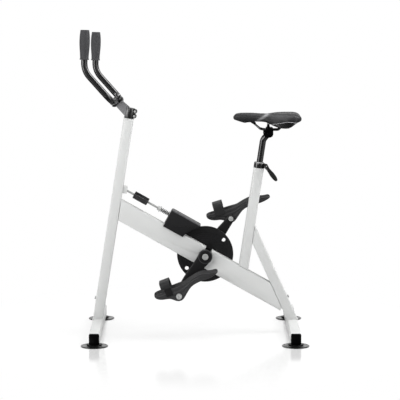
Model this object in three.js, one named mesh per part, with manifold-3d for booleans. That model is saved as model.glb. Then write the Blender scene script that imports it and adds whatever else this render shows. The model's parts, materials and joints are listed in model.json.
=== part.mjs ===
// Aqua bike: a stationary pool bike on suction cups. Millimetres and degrees.
// X runs from the handlebar to the saddle, Y across with the brake disc on its positive side, Z up.
import * as THREE from "three";
import { mergeVertices } from "three/addons/utils/BufferGeometryUtils.js";
import Module from "manifold-3d";

const wasm = await Module();
wasm.setup();

// Clearances and cutting aids
const weldGap = 0.3;
const seatGap = 0.3;
const slideGap = 1;
const overrun = 4;
const blockSize = 1600;
const mergeStep = 0.0001;

// Facets
const roundSides = 20;
const smallSides = 12;
const smallRadius = 7;
const hexSides = 6;
const quarterAngle = 90;
const cupSides = 32;
const discSides = 60;
const tubeSides = 14;
const wireSides = 8;
const cornerSteps = 2;
const bendSteps = 5;
const strapSteps = 12;

// Cross bars, their end caps, suction cups and fixing bolts
const crossSpan = 784;
const crossLength = 590;
const crossWidth = 40;
const crossHeight = 44;
const crossBase = 9;
const crossWall = 2.5;
const crossCorner = 5;
const capThickness = 5;
const capPlug = 16;
const capWall = 4;
const cupInset = 18;
const cupRadius = 53.5;
const cupEdge = 2;
const cupRimWidth = 12;
const cupHollow = 3;
const cupShoulder = 5;
const cupHubRadius = 22;
const cupNeckRadius = 27;
const fixingHeight = 84;
const fixingRadius = 6.5;
const fixingStand = 6;
const fixingShank = 4;
const fixingDepth = 12;

// Front post and the round stub that carries the stem
const tubeWidth = 40;
const tubeWall = 2.5;
const tubeCorner = 5;
const postRake = 9;
const postLength = 823;
const postLid = 4;
const stubRadius = 14.3;
const stubHeight = 41;

// Main beam
const beamHeight = 80;
const beamMeet = 462;
const beamSlope = 29.4;
const axleAlong = 410;
const axleRise = 7;
const slotWidth = 28;

// Seat tube and rear leg
const seatAlong = 583.5;
const seatRake = 8.5;
const seatTubeLength = 449;
const neckHeight = 24;
const neckRadius = 17.5;
const legMeet = 214;

// Seat post and its head
const seatPostRadius = 12.7;
const seatPostInside = 170;
const seatPostStraight = 92;
const seatPostSetback = 16.5;
const headRise = 24;
const headRadius = 13.5;
const headLength = 36;
const headBendRadius = 34;

// Seat collar, its skewer and its lever
const collarRadius = 21.5;
const collarHeight = 21;
const collarSlot = 3;
const earReach = 36;
const earHalfWidth = 12;
const earHeight = 17;
const skewerRadius = 3;
const skewerNutRadius = 7;
const skewerNutLength = 6;
const camRadius = 9.5;
const camWidth = 15;
const camPinRadius = 2.5;
const leverLength = 70;
const leverWide = 19;
const leverThickness = 5;
const leverDrop = 53;

// Saddle clamp and rails
const clampLength = 39;
const clampEarHalf = 13.5;
const clampEarThickness = 5;
const clampHalfWidth = 28;
const clampScrewRadius = 3;
const clampScrewHead = 5.5;
const clampScrewHeadDepth = 5;
const clampTopFront = 9.5;
const clampTopLength = 27;
const clampTopHeight = 20;
const pivotBoltRadius = 4;
const pivotNutRadius = 7.5;
const pivotNutHeight = 5;
const railOffset = 22;
const railRadius = 3.5;
const railHeight = 17.5;
const railFlatFront = 14;
const railFlatRear = 40;
const railKneeFront = 33;
const railKneeRise = 4;
const railNoseReach = 60;
const railNoseOffset = 9.5;
const railRearReach = 64;
const railBendRadius = 14;
const railBossRadius = 6.5;
const railBossLength = 9;
const railEndGap = 3;

// Saddle shell and pad
const saddleLength = 270;
const saddleNoseToHead = 139.5;
const saddleWidth = 168;
const saddleTop = 84.5;
const padDepth = 59;
const padSkirt = 11;
const padHem = 3;
const shellThickness = 4;
const channelDepth = 4;
const channelHalf = 10;

// Handlebar, grips and stem
const barRadius = 12.5;
const barSpan = 400;
const barLegLength = 160.5;
const barUpright = 150;
const barSlope = 48.1;
const barBend = 43.2;
const barCornerRadius = 42;
const barBendRadius = 80;
const barSkew = 4.6;
const barReach = 57.8;
const barRise = 38.8;
const gripLength = 115;
const gripEndRadius = 16.5;
const gripBellyRadius = 20.2;
const gripLipRadius = 18;
const gripLip = 5;
const gripTop = 4;
const gripDomeRadius = 16;
const gripDomeDrop = 1;
const gripTipRadius = 14.8;
const gripLow = 42.5;
const stemClampHeight = 40;
const stemClampRadius = 19;
const stemClampGap = 1.2;
const stemSlot = 3;
const stemEarReach = 29;
const stemEarWidth = 26;
const stemEarHeight = 17;
const stemBoltSpacing = 19;
const stemBoltRadius = 3;
const stemBoltHead = 4.6;
const stemBoltHeadDepth = 4;
const stemArmHalf = 15.3;
const stemArmWidth = 28;
const faceSpan = 52;
const faceWidth = 38;
const faceFront = 17;
const faceBack = 14;
const faceSplit = 1.5;
const faceBoltOffset = 20.5;
const faceBoltRadius = 3;
const faceBoltHead = 5;
const faceBoltHeadDepth = 5;
const faceCorner = 6;

// Brake: bracket, rod, knob, nut, spring, housing and pad
const rodRise = 81;
const rodRadius = 4.6;
const rodStart = 1;
const rodInside = 16;
const bracketReach = 17;
const bracketHeight = 30;
const bracketWidth = 24;
const knobStart = 43;
const knobLength = 60;
const knobRadius = 15;
const knobEndRadius = 12;
const knobChamfer = 5;
const knobSides = 8;
const nutStart = 150;
const nutLength = 10;
const nutRadius = 10;
const washerRadius = 13;
const washerLength = 3;
const springWire = 2.4;
const springRadius = 8.4;
const springCurls = 5;
const springSteps = 8;
const springSides = 5;
const boxFront = 204;
const boxRear = 336;
const boxTop = 109;
const boxBottom = 29;
const boxArcGap = 5;
const boxNear = 27;
const boxFar = 35;
const boxBevel = 4;
const padThickness = 3;

// Disc, axle, bearings, cranks
const discRadius = 113.5;
const discNear = 24;
const discThickness = 9;
const discHoleRadius = 8.6;
const discHoleAt = 94;
const discHoleAngle = 38;
const discHubRadius = 30;
const discHubLength = 5;
const axleRadius = 8.5;
const bearingRadius = 25;
const bearingPlate = 3.2;
const crankLength = 175;
const crankAngle = 53.5;
const crankThickness = 13;
const crankNear = 37;
const crankFar = 45;
const crankBossRadius = 28.5;
const crankRoot = 20.5;
const crankWide = 22;
const crankWideAt = 92;
const crankNeck = 18;
const crankNeckAt = 138;
const crankTip = 15;
const crankBossStand = 6;
const crankCapRadius = 12.5;
const crankCapDepth = 4;

// Pedals, axles and straps
const pedalGap = 8;
const pedalHalf = 48;
const pedalAngleNear = 21;
const pedalAngleFar = 17;
const pedalAxleRadius = 6;
const pedalHeadRadius = 11.8;
const pedalHeadDepth = 5;
const pedalSocketRadius = 4.2;
const pedalEndRadius = 10;
const pedalEndDepth = 4;
const pedalBossRadius = 17;
const pedalWall = 6;
const strapFront = 53;
const strapWidth = 42;
const strapThickness = 4;
const strapHeight = 75;
const strapFoot = 14;
const pedalToe = 89;
const pedalHeel = 180;

// Stations of the pedal, hand-set shares: along toe to heel, half width, underside, bed and rim as
// shares of the pedal's heel reach, half width and strap height.
const pedalShares = [
  [-1, 0.5, 0.34, 0.43, 0.47],
  [-0.93, 0.76, 0.25, 0.41, 0.47],
  [-0.78, 0.93, 0.18, 0.37, 0.46],
  [-0.58, 1, 0.14, 0.33, 0.45],
  [-0.3, 1, 0.07, 0.31, 0.45],
  [0, 0.97, 0.02, 0.3, 0.47],
  [0.2, 0.93, 0.08, 0.31, 0.5],
  [0.37, 0.9, 0.18, 0.35, 0.55],
  [0.55, 0.87, 0.23, 0.39, 0.6],
  [0.74, 0.86, 0.2, 0.39, 0.61],
  [0.88, 0.82, 0.16, 0.36, 0.56],
  [0.96, 0.7, 0.14, 0.32, 0.49],
  [1, 0.5, 0.14, 0.28, 0.43],
];

// The bed's height over the pedal axle.
const axleBedShare = 0.3;

// Saddle stations, hand-set shares: along nose to rear, half width, and depths below the crown of the
// top, the skirt's lower edge and the floor over the shell.
const saddleShares = [
  [0, 0.14, 0.3, 0.4, 0.38],
  [0.03, 0.21, 0.1, 0.44, 0.4],
  [0.07, 0.25, 0.02, 0.51, 0.46],
  [0.167, 0.29, 0, 0.59, 0.5],
  [0.27, 0.31, 0.02, 0.54, 0.5],
  [0.39, 0.37, 0.06, 0.54, 0.5],
  [0.478, 0.47, 0.09, 0.62, 0.52],
  [0.563, 0.63, 0.06, 0.8, 0.54],
  [0.667, 0.84, 0.01, 0.97, 0.54],
  [0.763, 0.98, 0, 1, 0.54],
  [0.83, 1, 0, 0.92, 0.54],
  [0.904, 0.96, 0, 0.68, 0.53],
  [0.96, 0.82, 0.06, 0.52, 0.48],
  [0.99, 0.66, 0.2, 0.45, 0.42],
  [1, 0.5, 0.34, 0.43, 0.4],
];

// The floor's depth along the middle of the saddle, where the rails end.
const middleFloorShare = 0.54;
const skirtShare = 0.167;
const hemShare = 0.25;

// Crown of the pad, hand-set shares: across as a share of the half width, drop as a share of the side.
const crownShares = [
  [1, 0.62],
  [0.985, 0.38],
  [0.93, 0.18],
  [0.82, 0.07],
  [0.62, 0.02],
];

// Outline of the collar's lever, hand-set shares: place along its length, share of its width.
const leverShares = [
  [0, 0.6],
  [0.3, 0.78],
  [0.55, 1],
  [0.8, 0.92],
  [0.93, 0.68],
  [1, 0.34],
];

// Swell of a grip, hand-set shares: place from the lip to the top, share of the belly's swell.
const gripShares = [
  [0.2, 0.35],
  [0.42, 0.85],
  [0.62, 1],
  [0.85, 0.8],
];

// Colours and surfaces
const finishes = {
  frame: { color: 0xd8dadb, roughness: 0.42, metalness: 0.1 },
  steel: { color: 0xbfc2c6, roughness: 0.3, metalness: 1 },
  black: { color: 0x242526, roughness: 0.55, metalness: 0 },
  gloss: { color: 0x131415, roughness: 0.25, metalness: 0.2 },
  disc: { color: 0x1a1a1b, roughness: 0.45, metalness: 0.2 },
  rubber: { color: 0x3a3b3c, roughness: 0.75, metalness: 0 },
  cup: { color: 0x55585a, roughness: 0.4, metalness: 0 },
  pedal: { color: 0x303234, roughness: 0.6, metalness: 0 },
  leather: { color: 0x151516, roughness: 0.45, metalness: 0 },
  pad: { color: 0x3b2a22, roughness: 0.85, metalness: 0 },
};

const rad = THREE.MathUtils.degToRad;
const vec = (x, y, z) => new THREE.Vector3(x, y, z);
const flat = (x, z) => vec(x, 0, z);
const across = vec(0, 1, 0);
const upward = vec(0, 0, 1);
const group = new THREE.Group();

// Turns a closed geometry into a solid for booleans.
function solidOf(geometry) {
  const bare = geometry.clone();
  bare.deleteAttribute("normal");
  bare.deleteAttribute("uv");
  const merged = mergeVertices(bare, mergeStep);
  const vertProperties = new Float32Array(merged.attributes.position.array);
  const triVerts = new Uint32Array(merged.index.array);
  return new wasm.Manifold(new wasm.Mesh({ numProp: 3, vertProperties, triVerts }));
}

// Adds one solid to the group as a named mesh with its own material.
function addPart(name, solid, finish) {
  const { vertProperties, triVerts } = solid.getMesh();
  const geometry = new THREE.BufferGeometry();
  geometry.setAttribute("position", new THREE.BufferAttribute(vertProperties, 3));
  geometry.setIndex(new THREE.BufferAttribute(triVerts, 1));
  geometry.computeVertexNormals();
  const mesh = new THREE.Mesh(geometry, new THREE.MeshStandardMaterial(finishes[finish]));
  mesh.name = name;
  group.add(mesh);
}

// A frame with its third axis along a direction and its second axis near a guide direction.
function frameAlong(origin, direction, guide = across) {
  const w = direction.clone().normalize();
  const u = guide.clone().cross(w).normalize();
  const v = w.clone().cross(u);
  return new THREE.Matrix4().makeBasis(u, v, w).setPosition(origin);
}

// A frame in the side view: first axis along the tilt, second axis at right angles up, third towards -Y.
function frameSide(origin, tiltDegrees) {
  const u = flat(Math.cos(rad(tiltDegrees)), Math.sin(rad(tiltDegrees)));
  const v = flat(-u.z, u.x);
  return new THREE.Matrix4().makeBasis(u, v, u.clone().cross(v)).setPosition(origin);
}

function placed(geometry, matrix) {
  return solidOf(geometry.clone().applyMatrix4(matrix));
}

function shapeOf(points) {
  return new THREE.Shape(points.map(([x, y]) => new THREE.Vector2(x, y)));
}

// Corner points of a rectangle with round corners, centred.
function roundedRectangle(width, height, radius) {
  const points = [];
  const corners = [[1, 1], [-1, 1], [-1, -1], [1, -1]];
  corners.forEach(([sx, sy], quarter) => {
    for (let step = 0; step <= cornerSteps; step += 1) {
      const angle = (quarter + step / cornerSteps) * Math.PI / 2;
      const x = sx * (width / 2 - radius) + radius * Math.cos(angle);
      const y = sy * (height / 2 - radius) + radius * Math.sin(angle);
      points.push([x, y]);
    }
  });
  return points;
}

// An outline extruded along the frame's third axis from low to high.
function extruded(points, low, high, matrix, holePoints) {
  const shape = shapeOf(points);
  if (holePoints) {
    shape.holes.push(shapeOf(holePoints));
  }
  const geometry = new THREE.ExtrudeGeometry(shape, { depth: high - low, bevelEnabled: false, steps: 1 });
  geometry.translate(0, 0, low);
  return placed(geometry, matrix);
}

// A side-view outline given from one Y to another.
function plate(points, yLow, yHigh, matrix) {
  return extruded(points, -yHigh, -yLow, matrix);
}

function boxSolid(width, depth, height, matrix) {
  return placed(new THREE.BoxGeometry(width, depth, height), matrix);
}

// A cylinder along the frame's third axis from low to high.
function rod(radius, low, high, matrix, sides = radius < smallRadius ? smallSides : roundSides) {
  return lathed([[0, low], [radius, low], [radius, high], [0, high]], matrix, sides);
}

// A turned profile of radius and height pairs, closed on the axis, about the frame's third axis.
function lathed(profile, matrix, sides = roundSides) {
  const points = profile.map(([radius, height]) => new THREE.Vector2(radius, height));
  const geometry = new THREE.LatheGeometry(points, sides);
  geometry.rotateX(Math.PI / 2);
  return placed(geometry, matrix);
}

// A frame for a round piece that lies across the bike.
function frameAcross(origin) {
  return frameAlong(origin, across, upward);
}

// A block that fills all beyond a plane, for trimming ends.
function beyond(point, direction) {
  const centre = point.clone().addScaledVector(direction.clone().normalize(), blockSize / 2);
  return boxSolid(blockSize, blockSize, blockSize, frameAlong(centre, direction));
}

// A route through corners, each rounded with its own radius.
function roundedRoute(corners, radii) {
  const route = [corners[0]];
  for (let index = 1; index < corners.length - 1; index += 1) {
    const corner = corners[index];
    const inward = corner.clone().sub(corners[index - 1]).normalize();
    const outward = corners[index + 1].clone().sub(corner).normalize();
    const turn = inward.angleTo(outward);
    const reach = radii[index - 1] * Math.tan(turn / 2);
    const start = corner.clone().addScaledVector(inward, -reach);
    const normal = outward.clone().addScaledVector(inward, -inward.dot(outward)).normalize();
    const centre = start.clone().addScaledVector(normal, radii[index - 1]);
    for (let step = 0; step <= bendSteps; step += 1) {
      const angle = turn * step / bendSteps;
      route.push(centre.clone()
        .addScaledVector(normal, -radii[index - 1] * Math.cos(angle))
        .addScaledVector(inward, radii[index - 1] * Math.sin(angle)));
    }
  }
  route.push(corners[corners.length - 1]);
  return route;
}

// A round tube along a route, one ring of points at each of its points.
function sweptTube(route, radius, sides) {
  const positions = [];
  const indices = [];
  const tangents = route.map((point, index) => {
    const before = route[Math.max(index - 1, 0)];
    const after = route[Math.min(index + 1, route.length - 1)];
    const back = point.clone().sub(before).normalize();
    const ahead = after.clone().sub(point).normalize();
    return back.add(ahead).normalize();
  });
  const guide = Math.abs(tangents[0].z) < Math.SQRT1_2 ? upward : across;
  let normal = guide.clone().cross(tangents[0]).normalize();
  route.forEach((point, index) => {
    const tangent = tangents[index];
    normal = normal.addScaledVector(tangent, -normal.dot(tangent)).normalize();
    const binormal = tangent.clone().cross(normal);
    for (let side = 0; side < sides; side += 1) {
      const angle = 2 * Math.PI * side / sides;
      const place = point.clone()
        .addScaledVector(normal, radius * Math.cos(angle))
        .addScaledVector(binormal, radius * Math.sin(angle));
      positions.push(place.x, place.y, place.z);
    }
  });
  for (let ring = 0; ring < route.length - 1; ring += 1) {
    for (let side = 0; side < sides; side += 1) {
      const a = ring * sides + side;
      const b = ring * sides + (side + 1) % sides;
      indices.push(a, b, b + sides, a, b + sides, a + sides);
    }
  }
  const last = (route.length - 1) * sides;
  for (let side = 1; side < sides - 1; side += 1) {
    indices.push(0, side + 1, side, last, last + side, last + side + 1);
  }
  return closedGeometry(positions, indices);
}

// Twice as many stations, each new one on a smooth curve through its two nearest and two next neighbours.
const nearWeight = 0.5625;
const nextWeight = 0.0625;

function refined(stations) {
  const at = (index) => stations[Math.min(Math.max(index, 0), stations.length - 1)];
  return stations.flatMap((station, index) => {
    if (index === stations.length - 1) {
      return [station];
    }
    const middle = station.map((value, column) => {
      const near = value + at(index + 1)[column];
      const next = at(index - 1)[column] + at(index + 2)[column];
      return nearWeight * near - nextWeight * next;
    });
    return [station, middle];
  });
}

function closedGeometry(positions, indices) {
  const geometry = new THREE.BufferGeometry();
  geometry.setAttribute("position", new THREE.Float32BufferAttribute(positions, 3));
  geometry.setIndex(indices);
  return geometry;
}

// A skin through equal cross sections that follow one another towards +X, each counted anticlockwise as
// seen from +X. The first and the last one close it.
function lofted(sections) {
  const count = sections[0].length;
  const positions = sections.flat().flatMap((point) => [point.x, point.y, point.z]);
  const indices = [];
  for (let ring = 0; ring < sections.length - 1; ring += 1) {
    for (let side = 0; side < count; side += 1) {
      const a = ring * count + side;
      const b = ring * count + (side + 1) % count;
      indices.push(a, b, b + count, a, b + count, a + count);
    }
  }
  const faces = (section) => {
    const contour = section.map((point) => new THREE.Vector2(point.y, point.z));
    return THREE.ShapeUtils.triangulateShape(contour, []);
  };
  const last = (sections.length - 1) * count;
  faces(sections[0]).forEach(([a, b, c]) => indices.push(a, c, b));
  faces(sections[sections.length - 1])
    .forEach(([a, b, c]) => indices.push(last + a, last + b, last + c));
  return closedGeometry(positions, indices);
}

// Cross bars with caps, cups and fixing bolts
const crossTop = crossBase + crossHeight;
const crossMiddle = crossBase + crossHeight / 2;

function buildCrossBar(name, x) {
  const frame = frameAlong(vec(x, 0, crossMiddle), across, upward);
  const outer = roundedRectangle(crossWidth, crossHeight, crossCorner);
  const innerWidth = crossWidth - 2 * crossWall;
  const innerHeight = crossHeight - 2 * crossWall;
  const inner = roundedRectangle(innerWidth, innerHeight, crossCorner - crossWall);
  addPart(name + "_crossbar", extruded(outer, -crossLength / 2, crossLength / 2, frame, inner), "frame");
  for (const [side, sign] of [["left", -1], ["right", 1]]) {
    buildEndCap(name + "_cap_" + side, x, sign);
    buildCup(name + "_cup_" + side, x, sign * (crossLength / 2 - cupInset));
  }
}

function buildEndCap(name, x, sign) {
  const start = crossLength / 2 + seatGap;
  const frame = frameAlong(vec(x, 0, crossMiddle), vec(0, sign, 0), upward);
  const trim = 2 * (crossWall + seatGap);
  const plugCorner = crossCorner - crossWall;
  const outline = roundedRectangle(crossWidth, crossHeight, crossCorner);
  const face = extruded(outline, start, start + capThickness, frame);
  const plug = extruded(
    roundedRectangle(crossWidth - trim, crossHeight - trim, plugCorner),
    start - capPlug, start + seatGap, frame);
  const hollow = extruded(
    roundedRectangle(crossWidth - trim - 2 * capWall, crossHeight - trim - 2 * capWall, plugCorner),
    start - capPlug - overrun, start, frame);
  addPart(name, face.add(plug).subtract(hollow), "black");
}

function buildCup(name, x, y) {
  const seat = crossBase - seatGap;
  const rimIn = cupRadius - cupRimWidth;
  addPart(name, lathed([
    [0, cupHollow], [rimIn, cupHollow - cupEdge / 2], [rimIn + cupEdge, 0],
    [cupRadius, 0], [cupRadius, cupEdge], [cupNeckRadius, cupShoulder + cupEdge / 2],
    [cupHubRadius, cupShoulder + cupEdge], [cupHubRadius, seat], [0, seat],
  ], frameAlong(vec(x, y, 0), upward), cupSides), "cup");
}

buildCrossBar("front", -crossSpan / 2);
buildCrossBar("rear", crossSpan / 2);

// Directions of the raked and sloping tubes
const postDirection = flat(Math.sin(rad(postRake)), Math.cos(rad(postRake)));
const postRear = flat(postDirection.z, -postDirection.x);
const postFoot = flat(-crossSpan / 2, crossTop);
const onPost = (along, back = 0) =>
  postFoot.clone().addScaledVector(postDirection, along).addScaledVector(postRear, back);
const beamStart = onPost(beamMeet);
const beamDirection = flat(Math.cos(rad(beamSlope)), -Math.sin(rad(beamSlope)));
const beamUp = flat(-beamDirection.z, beamDirection.x);
const onBeam = (along, up = 0) =>
  beamStart.clone().addScaledVector(beamDirection, along).addScaledVector(beamUp, up);
const tubeStart = onBeam(seatAlong);
const tubeDirection = flat(Math.sin(rad(seatRake)), Math.cos(rad(seatRake)));
const tubeRear = flat(tubeDirection.z, -tubeDirection.x);
const onTube = (along, back = 0) =>
  tubeStart.clone().addScaledVector(tubeDirection, along).addScaledVector(tubeRear, back);
const legFoot = flat(crossSpan / 2, crossTop);
const legTop = onTube(legMeet);
const legDirection = legTop.clone().sub(legFoot).normalize();
const legFront = flat(-legDirection.z, legDirection.x);
const crankCentre = onBeam(axleAlong, axleRise);

// A square tube between two points, with round corners and an open bore.
function squareTube(start, direction, length, height, bore = true) {
  const outer = roundedRectangle(height, tubeWidth, tubeCorner);
  const inner = roundedRectangle(height - 2 * tubeWall, tubeWidth - 2 * tubeWall, tubeCorner - tubeWall);
  return extruded(outer, 0, length, frameAlong(start, direction), bore ? inner : undefined);
}

// A small hex-headed bolt that stands on a face, its shank through the wall.
function fixingBolt(point, direction) {
  const frame = frameAlong(point, direction);
  const head = rod(fixingRadius, seatGap, fixingStand, frame, hexSides);
  return head.add(rod(fixingShank, -fixingDepth, fixingStand / 2, frame));
}

function fixingHole(point, direction) {
  return rod(fixingShank + seatGap, -fixingDepth - overrun, overrun, frameAlong(point, direction));
}

function buildFrontPost() {
  const below = onPost(-tubeWidth);
  const fixing = onPost(fixingHeight / Math.cos(rad(postRake)), -tubeWidth / 2);
  const front = postRear.clone().negate();
  let post = squareTube(below, postDirection, postLength + tubeWidth, tubeWidth);
  post = post.add(squareTube(onPost(postLength - postLid), postDirection, postLid, tubeWidth, false));
  post = post.subtract(beyond(vec(0, 0, crossTop + weldGap), vec(0, 0, -1)));
  post = post.subtract(fixingHole(fixing, front));
  addPart("front_post", post, "frame");
  addPart("front_fixing_bolt", fixingBolt(fixing, front), "steel");
  const stubBase = postLength + weldGap;
  const stub = rod(stubRadius, stubBase, stubBase + stubHeight, frameAlong(postFoot, postDirection));
  addPart("stem_stub", stub, "gloss");
}

function buildBeam() {
  const slot = extruded(
    [[-slotWidth / 2, 0], [slotWidth / 2, 0], [slotWidth / 2, beamHeight], [-slotWidth / 2, beamHeight]],
    -tubeWidth, tubeWidth, frameSide(crankCentre, -beamSlope));
  const length = seatAlong + tubeWidth + beamHeight * 2;
  let beam = squareTube(onBeam(-beamHeight), beamDirection, length + beamHeight, beamHeight);
  const half = tubeWidth / 2 + weldGap;
  beam = beam.subtract(beyond(onPost(0, half), postRear.clone().negate()));
  beam = beam.subtract(beyond(legFoot.clone().addScaledVector(legFront, half), legFront.clone().negate()));
  beam = beam.subtract(slot).subtract(rod(slotWidth / 2, -tubeWidth, tubeWidth, frameAcross(crankCentre)));
  addPart("main_beam", beam, "frame");
}

function buildSeatTube() {
  const axis = frameAlong(tubeStart, tubeDirection);
  let tube = squareTube(tubeStart, tubeDirection, seatTubeLength, tubeWidth, false);
  tube = tube.add(rod(neckRadius, 0, seatTubeLength + neckHeight, axis));
  tube = tube.subtract(rod(seatPostRadius + seatGap, -overrun, seatTubeLength + neckHeight + overrun, axis));
  tube = tube.subtract(beyond(onBeam(0, beamHeight / 2 + weldGap), beamUp.clone().negate()));
  const cut = frameSide(onTube(seatTubeLength + neckHeight), 90 - seatRake);
  const slit = [[-neckHeight, -neckRadius * 2], [overrun, -neckRadius * 2], [overrun, 0], [-neckHeight, 0]];
  addPart("seat_tube", tube.subtract(plate(slit, -collarSlot / 2, collarSlot / 2, cut)), "frame");
}

function buildRearLeg() {
  const span = legTop.distanceTo(legFoot);
  const rear = legFront.clone().negate();
  const fixing = legFoot.clone()
    .addScaledVector(legDirection, fixingHeight / legDirection.z).addScaledVector(rear, tubeWidth / 2);
  const below = legFoot.clone().addScaledVector(legDirection, -tubeWidth);
  let leg = squareTube(below, legDirection, span + tubeWidth, tubeWidth);
  leg = leg.subtract(beyond(vec(0, 0, crossTop + weldGap), vec(0, 0, -1)));
  leg = leg.subtract(beyond(onTube(0, tubeWidth / 2 + weldGap), tubeRear.clone().negate()));
  leg = leg.subtract(fixingHole(fixing, rear));
  addPart("rear_leg", leg, "frame");
  addPart("rear_fixing_bolt", fixingBolt(fixing, rear), "steel");
}

buildFrontPost();
buildBeam();
buildSeatTube();
buildRearLeg();

// Drive: disc, axle, bearing plates and cranks
const crankTurn = (side) => (side < 0 ? 180 : 0) + crankAngle;
const crankDirection = (side) => flat(Math.cos(rad(crankTurn(side))), Math.sin(rad(crankTurn(side))));
const crankInner = (side) => (side < 0 ? crankNear : crankFar);
const pedalCentre = (side) => crankCentre.clone().addScaledVector(crankDirection(side), crankLength);
const crankOuter = (side) => crankInner(side) + crankThickness;

function buildBearings() {
  const frame = frameAcross(crankCentre);
  for (const [name, side] of [["bearing_left", -1], ["bearing_right", 1]]) {
    const plateFrame = frameAlong(crankCentre, vec(0, side, 0), upward);
    const shell = rod(slotWidth / 2 - seatGap, seatGap, tubeWidth / 2, plateFrame);
    const flange = rod(bearingRadius, tubeWidth / 2 + seatGap, tubeWidth / 2 + bearingPlate, plateFrame);
    const collar = rod(slotWidth / 2 - seatGap, tubeWidth / 2, tubeWidth / 2 + bearingPlate, plateFrame);
    const body = shell.add(collar).add(flange);
    addPart(name, body.subtract(rod(axleRadius + seatGap, -tubeWidth, tubeWidth, frame)), "black");
  }
}

function buildDisc() {
  const frame = frameAcross(crankCentre);
  const far = discNear + discThickness;
  let disc = rod(discRadius, discNear, far, frame, discSides);
  disc = disc.add(rod(discHubRadius, far, far + discHubLength, frame));
  disc = disc.subtract(rod(axleRadius + seatGap, 0, far + discHubLength + overrun, frame));
  for (const turn of [0, 180]) {
    const angle = rad(discHoleAngle + turn);
    const at = crankCentre.clone().add(flat(discHoleAt * Math.cos(angle), discHoleAt * Math.sin(angle)));
    disc = disc.subtract(rod(discHoleRadius, discNear - overrun, far + overrun, frameAcross(at)));
  }
  addPart("resistance_disc", disc, "disc");
  const axleEnds = crankBossStand / 2;
  const axle = rod(axleRadius, axleEnds - crankOuter(-1), crankOuter(1) - axleEnds, frame);
  addPart("crank_axle", axle, "steel");
}

function buildCrank(name, side) {
  const inner = crankInner(side);
  const outer = crankOuter(side);
  const length = crankLength;
  const frame = frameSide(crankCentre, crankTurn(side));
  const yLow = side < 0 ? -outer : inner;
  const yHigh = side < 0 ? -inner : outer;
  const sideways = vec(0, side, 0);
  const edge = [[0, crankRoot], [crankWideAt, crankWide], [crankNeckAt, crankNeck], [length, crankTip]];
  const outline = edge.map(([along, half]) => [along, -half]).concat(edge.reverse());
  const arm = plate(outline, yLow, yHigh, frame);
  const capFrame = frameAlong(crankCentre, sideways, upward);
  const boss = rod(crankBossRadius, inner - crankBossStand, outer, capFrame);
  const tip = rod(crankTip, inner, outer, frameAlong(pedalCentre(side), sideways, upward));
  const through = outer + overrun;
  const axleHole = rod(axleRadius + seatGap, -through, through, frameAcross(crankCentre));
  const pedalHole = rod(pedalAxleRadius + seatGap, -through, through, frameAcross(pedalCentre(side)));
  addPart("crank_" + name, arm.add(boss).add(tip).subtract(axleHole).subtract(pedalHole), "black");
  const cap = rod(crankCapRadius, outer + seatGap, outer + crankCapDepth, capFrame);
  const spigot = rod(axleRadius, outer - crankBossStand / 2 + seatGap, outer + crankCapDepth / 2, capFrame);
  addPart("crank_cap_" + name, cap.add(spigot), "steel");
}

buildBearings();
buildDisc();
buildCrank("left", -1);
buildCrank("right", 1);

// Pedals with axles and foot straps, each drawn about its axle with the toe towards -X
function pedalSection([along, wide, under, bed, rim]) {
  const x = along < 0 ? along * pedalToe : along * pedalHeel;
  const half = wide * pedalHalf;
  const inner = half - pedalWall;
  const low = under * strapHeight;
  const floor = bed * strapHeight;
  const top = rim * strapHeight;
  const ease = pedalWall / 2;
  return [
    vec(x, -inner, low), vec(x, inner, low), vec(x, half, low + ease), vec(x, half, top),
    vec(x, inner, top), vec(x, inner - ease, floor), vec(x, ease - inner, floor),
    vec(x, -inner, top), vec(x, -half, top), vec(x, -half, low + ease),
  ];
}

// The arch of the strap as across and up pairs, set out from the pedal's sides.
function strapArch(outset) {
  const half = pedalHalf + seatGap + outset;
  const top = strapHeight - strapThickness + outset;
  const points = [[-half, strapFoot]];
  for (let step = 0; step <= strapSteps; step += 1) {
    const angle = Math.PI * (1 - step / strapSteps);
    const x = Math.sign(Math.cos(angle)) * Math.sqrt(Math.abs(Math.cos(angle))) * half;
    const rise = Math.sqrt(Math.sin(angle));
    points.push([x, strapHeight / 2 + (top - strapHeight / 2) * rise]);
  }
  points.push([half, strapFoot]);
  return points;
}

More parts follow.
